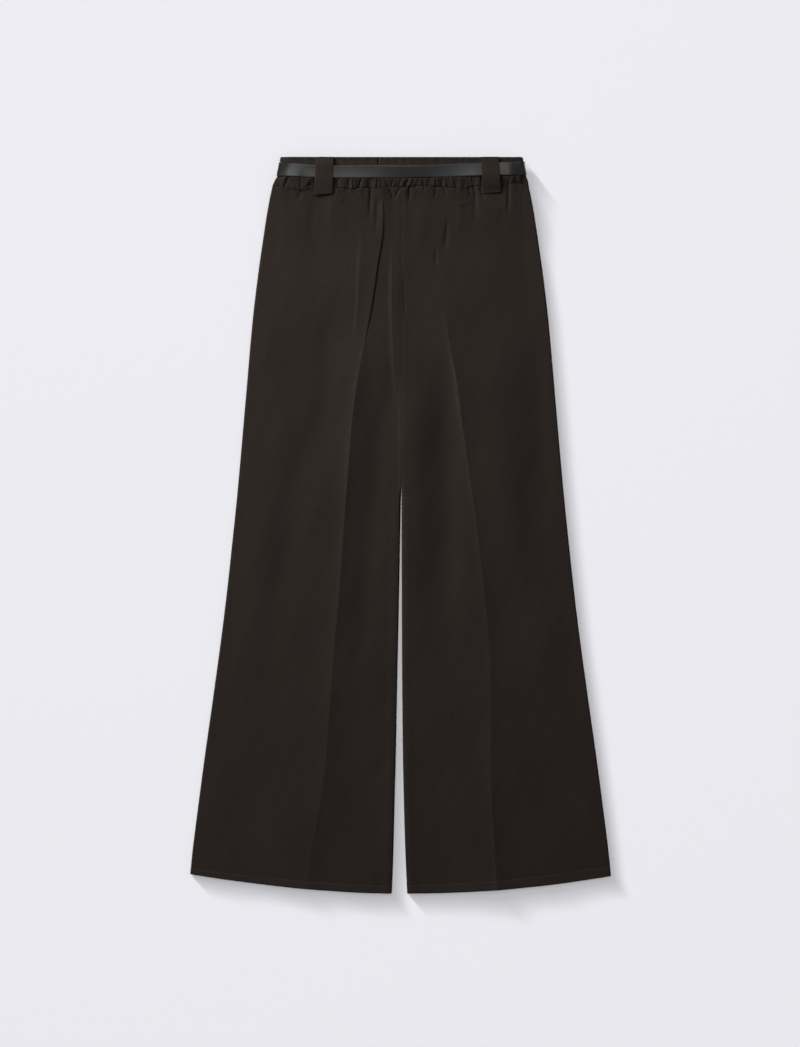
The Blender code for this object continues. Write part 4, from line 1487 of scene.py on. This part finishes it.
class TrousersBeltSettings(bpy.types.PropertyGroup):
    """Colours of the belt and buckle."""

    belt_colour: colour_setting("Belt colour", "Colour of the coated leather", (0.0075, 0.0080, 0.0077))
    belt_edge_colour: colour_setting(
        "Belt edge colour", "Colour of the belt's rubbed edges", (0.014, 0.0145, 0.014)
    )
    metal_colour: colour_setting("Metal colour", "Colour of the buckle", (0.16, 0.16, 0.165))


class TrousersStageSettings(bpy.types.PropertyGroup):
    """Floor, light and camera."""

    floor_colour: colour_setting("Floor colour", "Colour of the pale floor", (0.80, 0.79, 0.835))
    key_strength: number_setting("Key light", "From the upper left, on the trousers", 2.07, 0, 5)
    low_strength: number_setting("Low light", "From the upper left, on the floor", 0.7, 0, 5)
    top_strength: number_setting("Top light", "Of the soft box overhead", 0.135, 0, 5)
    fill_strength: number_setting("Fill light", "From all round", 0.7, 0, 3)
    lens: number_setting("Lens", "Length of the camera's lens in millimetres", 85, 20, 300)


# ---------------------------------------------------------------- operators


class TROUSERS_OT_leg_panels(bpy.types.Operator):
    """Make the back and front panel of each leg, and the stitches of their hems"""

    bl_idname = "trousers.leg_panels"
    bl_label = "Leg Panels"

    def execute(self, context):
        settings, material = trouser_cloth(context)
        drops = np.linspace(BAND_HEIGHT, LENGTH, AREA_ROWS)
        width = section("half_width", drops) - section("half_gap", drops)
        stitches = []
        for side, name in SIDES.items():
            for at_back, face in ((False, "front"), (True, "back")):
                points, drop = leg_panel(side, at_back, settings)
                stitches.append(stitch_row(points, drop, at_back))
                middle = ROLL_STATIONS + COLUMNS[at_back][0] - 1
                if (side < 0) == at_back:
                    points = points[:, ::-1]
                    middle = points.shape[1] - 1 - middle
                uv = cloth_lengths(points, middle)
                if side > 0:
                    uv = uv + np.array(RIGHT_CLOTH_FROM)
                mesh = mesh_from_grid(f"leg_{face}_{name}", points, uv)
                sharpen_rim(mesh, *points.shape[:2])
                # Painted shade near the waist seam, stored for the cloth's colour
                add_painted_shade_mask(mesh, painted_shade_mask(points[..., 0], TOP_Y - points[..., 1]))
                obj = piece_from_mesh(mesh, material, f"{face}_{name}")
                wall = obj.modifiers.new("wall", "SOLIDIFY")
                wall.thickness = settings.cloth_thickness
                wall.offset = -1
        mesh = mesh_from_grid("hem_stitches", np.concatenate(stitches), across_closed=True)
        merged(piece_from_mesh(mesh, thread_material(settings), None))
        return {"FINISHED"}


class TROUSERS_OT_waistband(bpy.types.Operator):
    """Make the gathered waistband"""

    bl_idname = "trousers.waistband"
    bl_label = "Waistband"

    def execute(self, context):
        settings, material = trouser_cloth(context)
        points, uv = waistband(settings)
        mesh = mesh_from_grid("gathered_waistband", points, uv, around=True)
        # Painted shade below the belt and at the seam, stored for the cloth's colour
        add_painted_shade_mask(mesh, painted_shade_mask(points[..., 0], TOP_Y - points[..., 1]))
        obj = piece_from_mesh(mesh, material, "waistband")
        merged(obj)
        return {"FINISHED"}


class TROUSERS_OT_belt(bpy.types.Operator):
    """Make the narrow belt"""

    bl_idname = "trousers.belt"
    bl_label = "Belt"

    def execute(self, context):
        mesh = mesh_from_grid("belt_strap", *belt_strap(), around=True)
        leather = leather_material(context.scene.trousers_belt)
        merged(piece_from_mesh(mesh, leather, "belt"))
        return {"FINISHED"}


class TROUSERS_OT_buckle(bpy.types.Operator):
    """Give the buckle its brushed metal"""

    bl_idname = "trousers.buckle"
    bl_label = "Buckle"

    def execute(self, context):
        metal = metal_material(context.scene.trousers_belt)
        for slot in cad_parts["buckle"].material_slots:
            slot.material = metal
        return {"FINISHED"}


class TROUSERS_OT_loops(bpy.types.Operator):
    """Make the four belt loops"""

    bl_idname = "trousers.loops"
    bl_label = "Belt Loops"

    def execute(self, context):
        _, material = trouser_cloth(context)
        for number, loop in enumerate(LOOPS):
            points, uv = belt_loop(loop)
            uv = uv + np.array(LOOP_CLOTH_FROM) + number * np.array(LOOP_CLOTH_STEP)
            mesh = mesh_from_grid(loop.name, points, uv, across_closed=True)
            # Painted shade: the loops' cloth is painted a little darker all over
            add_painted_shade_mask(mesh, PAINTED_SHADE_ON_LOOPS)
            obj = piece_from_mesh(mesh, material, loop.node)
            merged(obj)
        return {"FINISHED"}


class TROUSERS_OT_stage(bpy.types.Operator):
    """Make the floor, the light and the camera"""

    bl_idname = "trousers.stage"
    bl_label = "Floor, Light and Camera"

    def execute(self, context):
        settings = context.scene.trousers_stage
        scene = context.scene
        scene.view_settings.view_transform = "Standard"

        x = np.array([-FLOOR_HALF, FLOOR_HALF])
        mesh = mesh_from_grid("pale_floor", stacked(x, x[:, None], FLOOR_LEVEL))
        floor = bpy.data.objects.new("pale_floor", mesh)
        scene.collection.objects.link(floor)
        mesh.materials.append(paper_material(settings))
        floor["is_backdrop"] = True

        garment_only = bpy.data.collections.new("lit_by_the_key")
        for number, unlit in enumerate((floor, bpy.data.objects["belt_strap"])):
            garment_only.objects.link(unlit)
            garment_only.collection_objects[number].light_linking.link_state = "EXCLUDE"
        floor_only = bpy.data.collections.new("lit_by_the_low_lights")
        floor_only.objects.link(floor)
        for number, (share, height, angle) in enumerate(LOW_LIGHTS):
            level = settings.low_strength * share * np.pi / np.sin(np.radians(height))
            lamp = {"energy": level, "angle": np.radians(angle)}
            obj = add_lamp(scene, f"low_light_{number}", "SUN", floor_only, **lamp)
            obj.rotation_euler = (np.radians(90 - height), 0, LOW_LIGHT_TURN)
        soft_box(scene, "key_light", KEY_PLACE, KEY_SIZE, settings.key_strength, garment_only)
        soft_box(scene, "top_light", TOP_PLACE, TOP_SIZE, settings.top_strength)

        camera = bpy.data.cameras.new("camera")
        camera.lens = settings.lens
        camera.sensor_width = SENSOR
        camera.clip_end = VIEW_END
        camera_object = bpy.data.objects.new("camera", camera)
        camera_object.location = (*CAMERA_OVER, settings.lens / SENSOR * VIEW_LENGTH)
        scene.collection.objects.link(camera_object)
        scene.camera = camera_object

        scene.world = bpy.data.worlds.new("soft_studio")
        scene.world.use_nodes = True
        background = scene.world.node_tree.nodes["Background"]
        background.inputs["Color"].default_value = (1, 1, 1, 1)
        background.inputs["Strength"].default_value = FILL_LEVEL * settings.fill_strength
        return {"FINISHED"}


class TROUSERS_PT_sidebar(bpy.types.Panel):
    """Lists the settings and the operators"""

    bl_idname = "TROUSERS_PT_sidebar"
    bl_label = "Flared Trousers"
    bl_space_type = "VIEW_3D"
    bl_region_type = "UI"
    bl_category = "Trousers"

    def draw(self, context):
        for name in SETTINGS:
            group = getattr(context.scene, name)
            box = self.layout.box()
            for setting in group.__annotations__:
                box.prop(group, setting)
        for operator in OPERATORS:
            self.layout.operator(operator.bl_idname)


SETTINGS = {
    "trousers_cloth": TrousersClothSettings,
    "trousers_belt": TrousersBeltSettings,
    "trousers_stage": TrousersStageSettings,
}
OPERATORS = (
    TROUSERS_OT_belt,
    TROUSERS_OT_waistband,
    TROUSERS_OT_leg_panels,
    TROUSERS_OT_buckle,
    TROUSERS_OT_loops,
    TROUSERS_OT_stage,
)
CLASSES = (*SETTINGS.values(), *OPERATORS, TROUSERS_PT_sidebar)


def register():
    """Register the classes, and hang each settings group on the scene."""
    for entry in CLASSES:
        bpy.utils.register_class(entry)
    for name, group in SETTINGS.items():
        setattr(bpy.types.Scene, name, PointerProperty(type=group))


def unregister():
    """Undo register, in the opposite order."""
    for name in SETTINGS:
        delattr(bpy.types.Scene, name)
    for entry in reversed(CLASSES):
        bpy.utils.unregister_class(entry)


def main():
    register()
    for operator in OPERATORS:
        group, name = operator.bl_idname.split(".")
        getattr(getattr(bpy.ops, group), name)()
    boxes = {"cad": CAD_BOX, "visual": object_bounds()}
    {key: [list(corner) for corner in box] for key, box in boxes.items()}


if __name__ == "__main__":
    main()
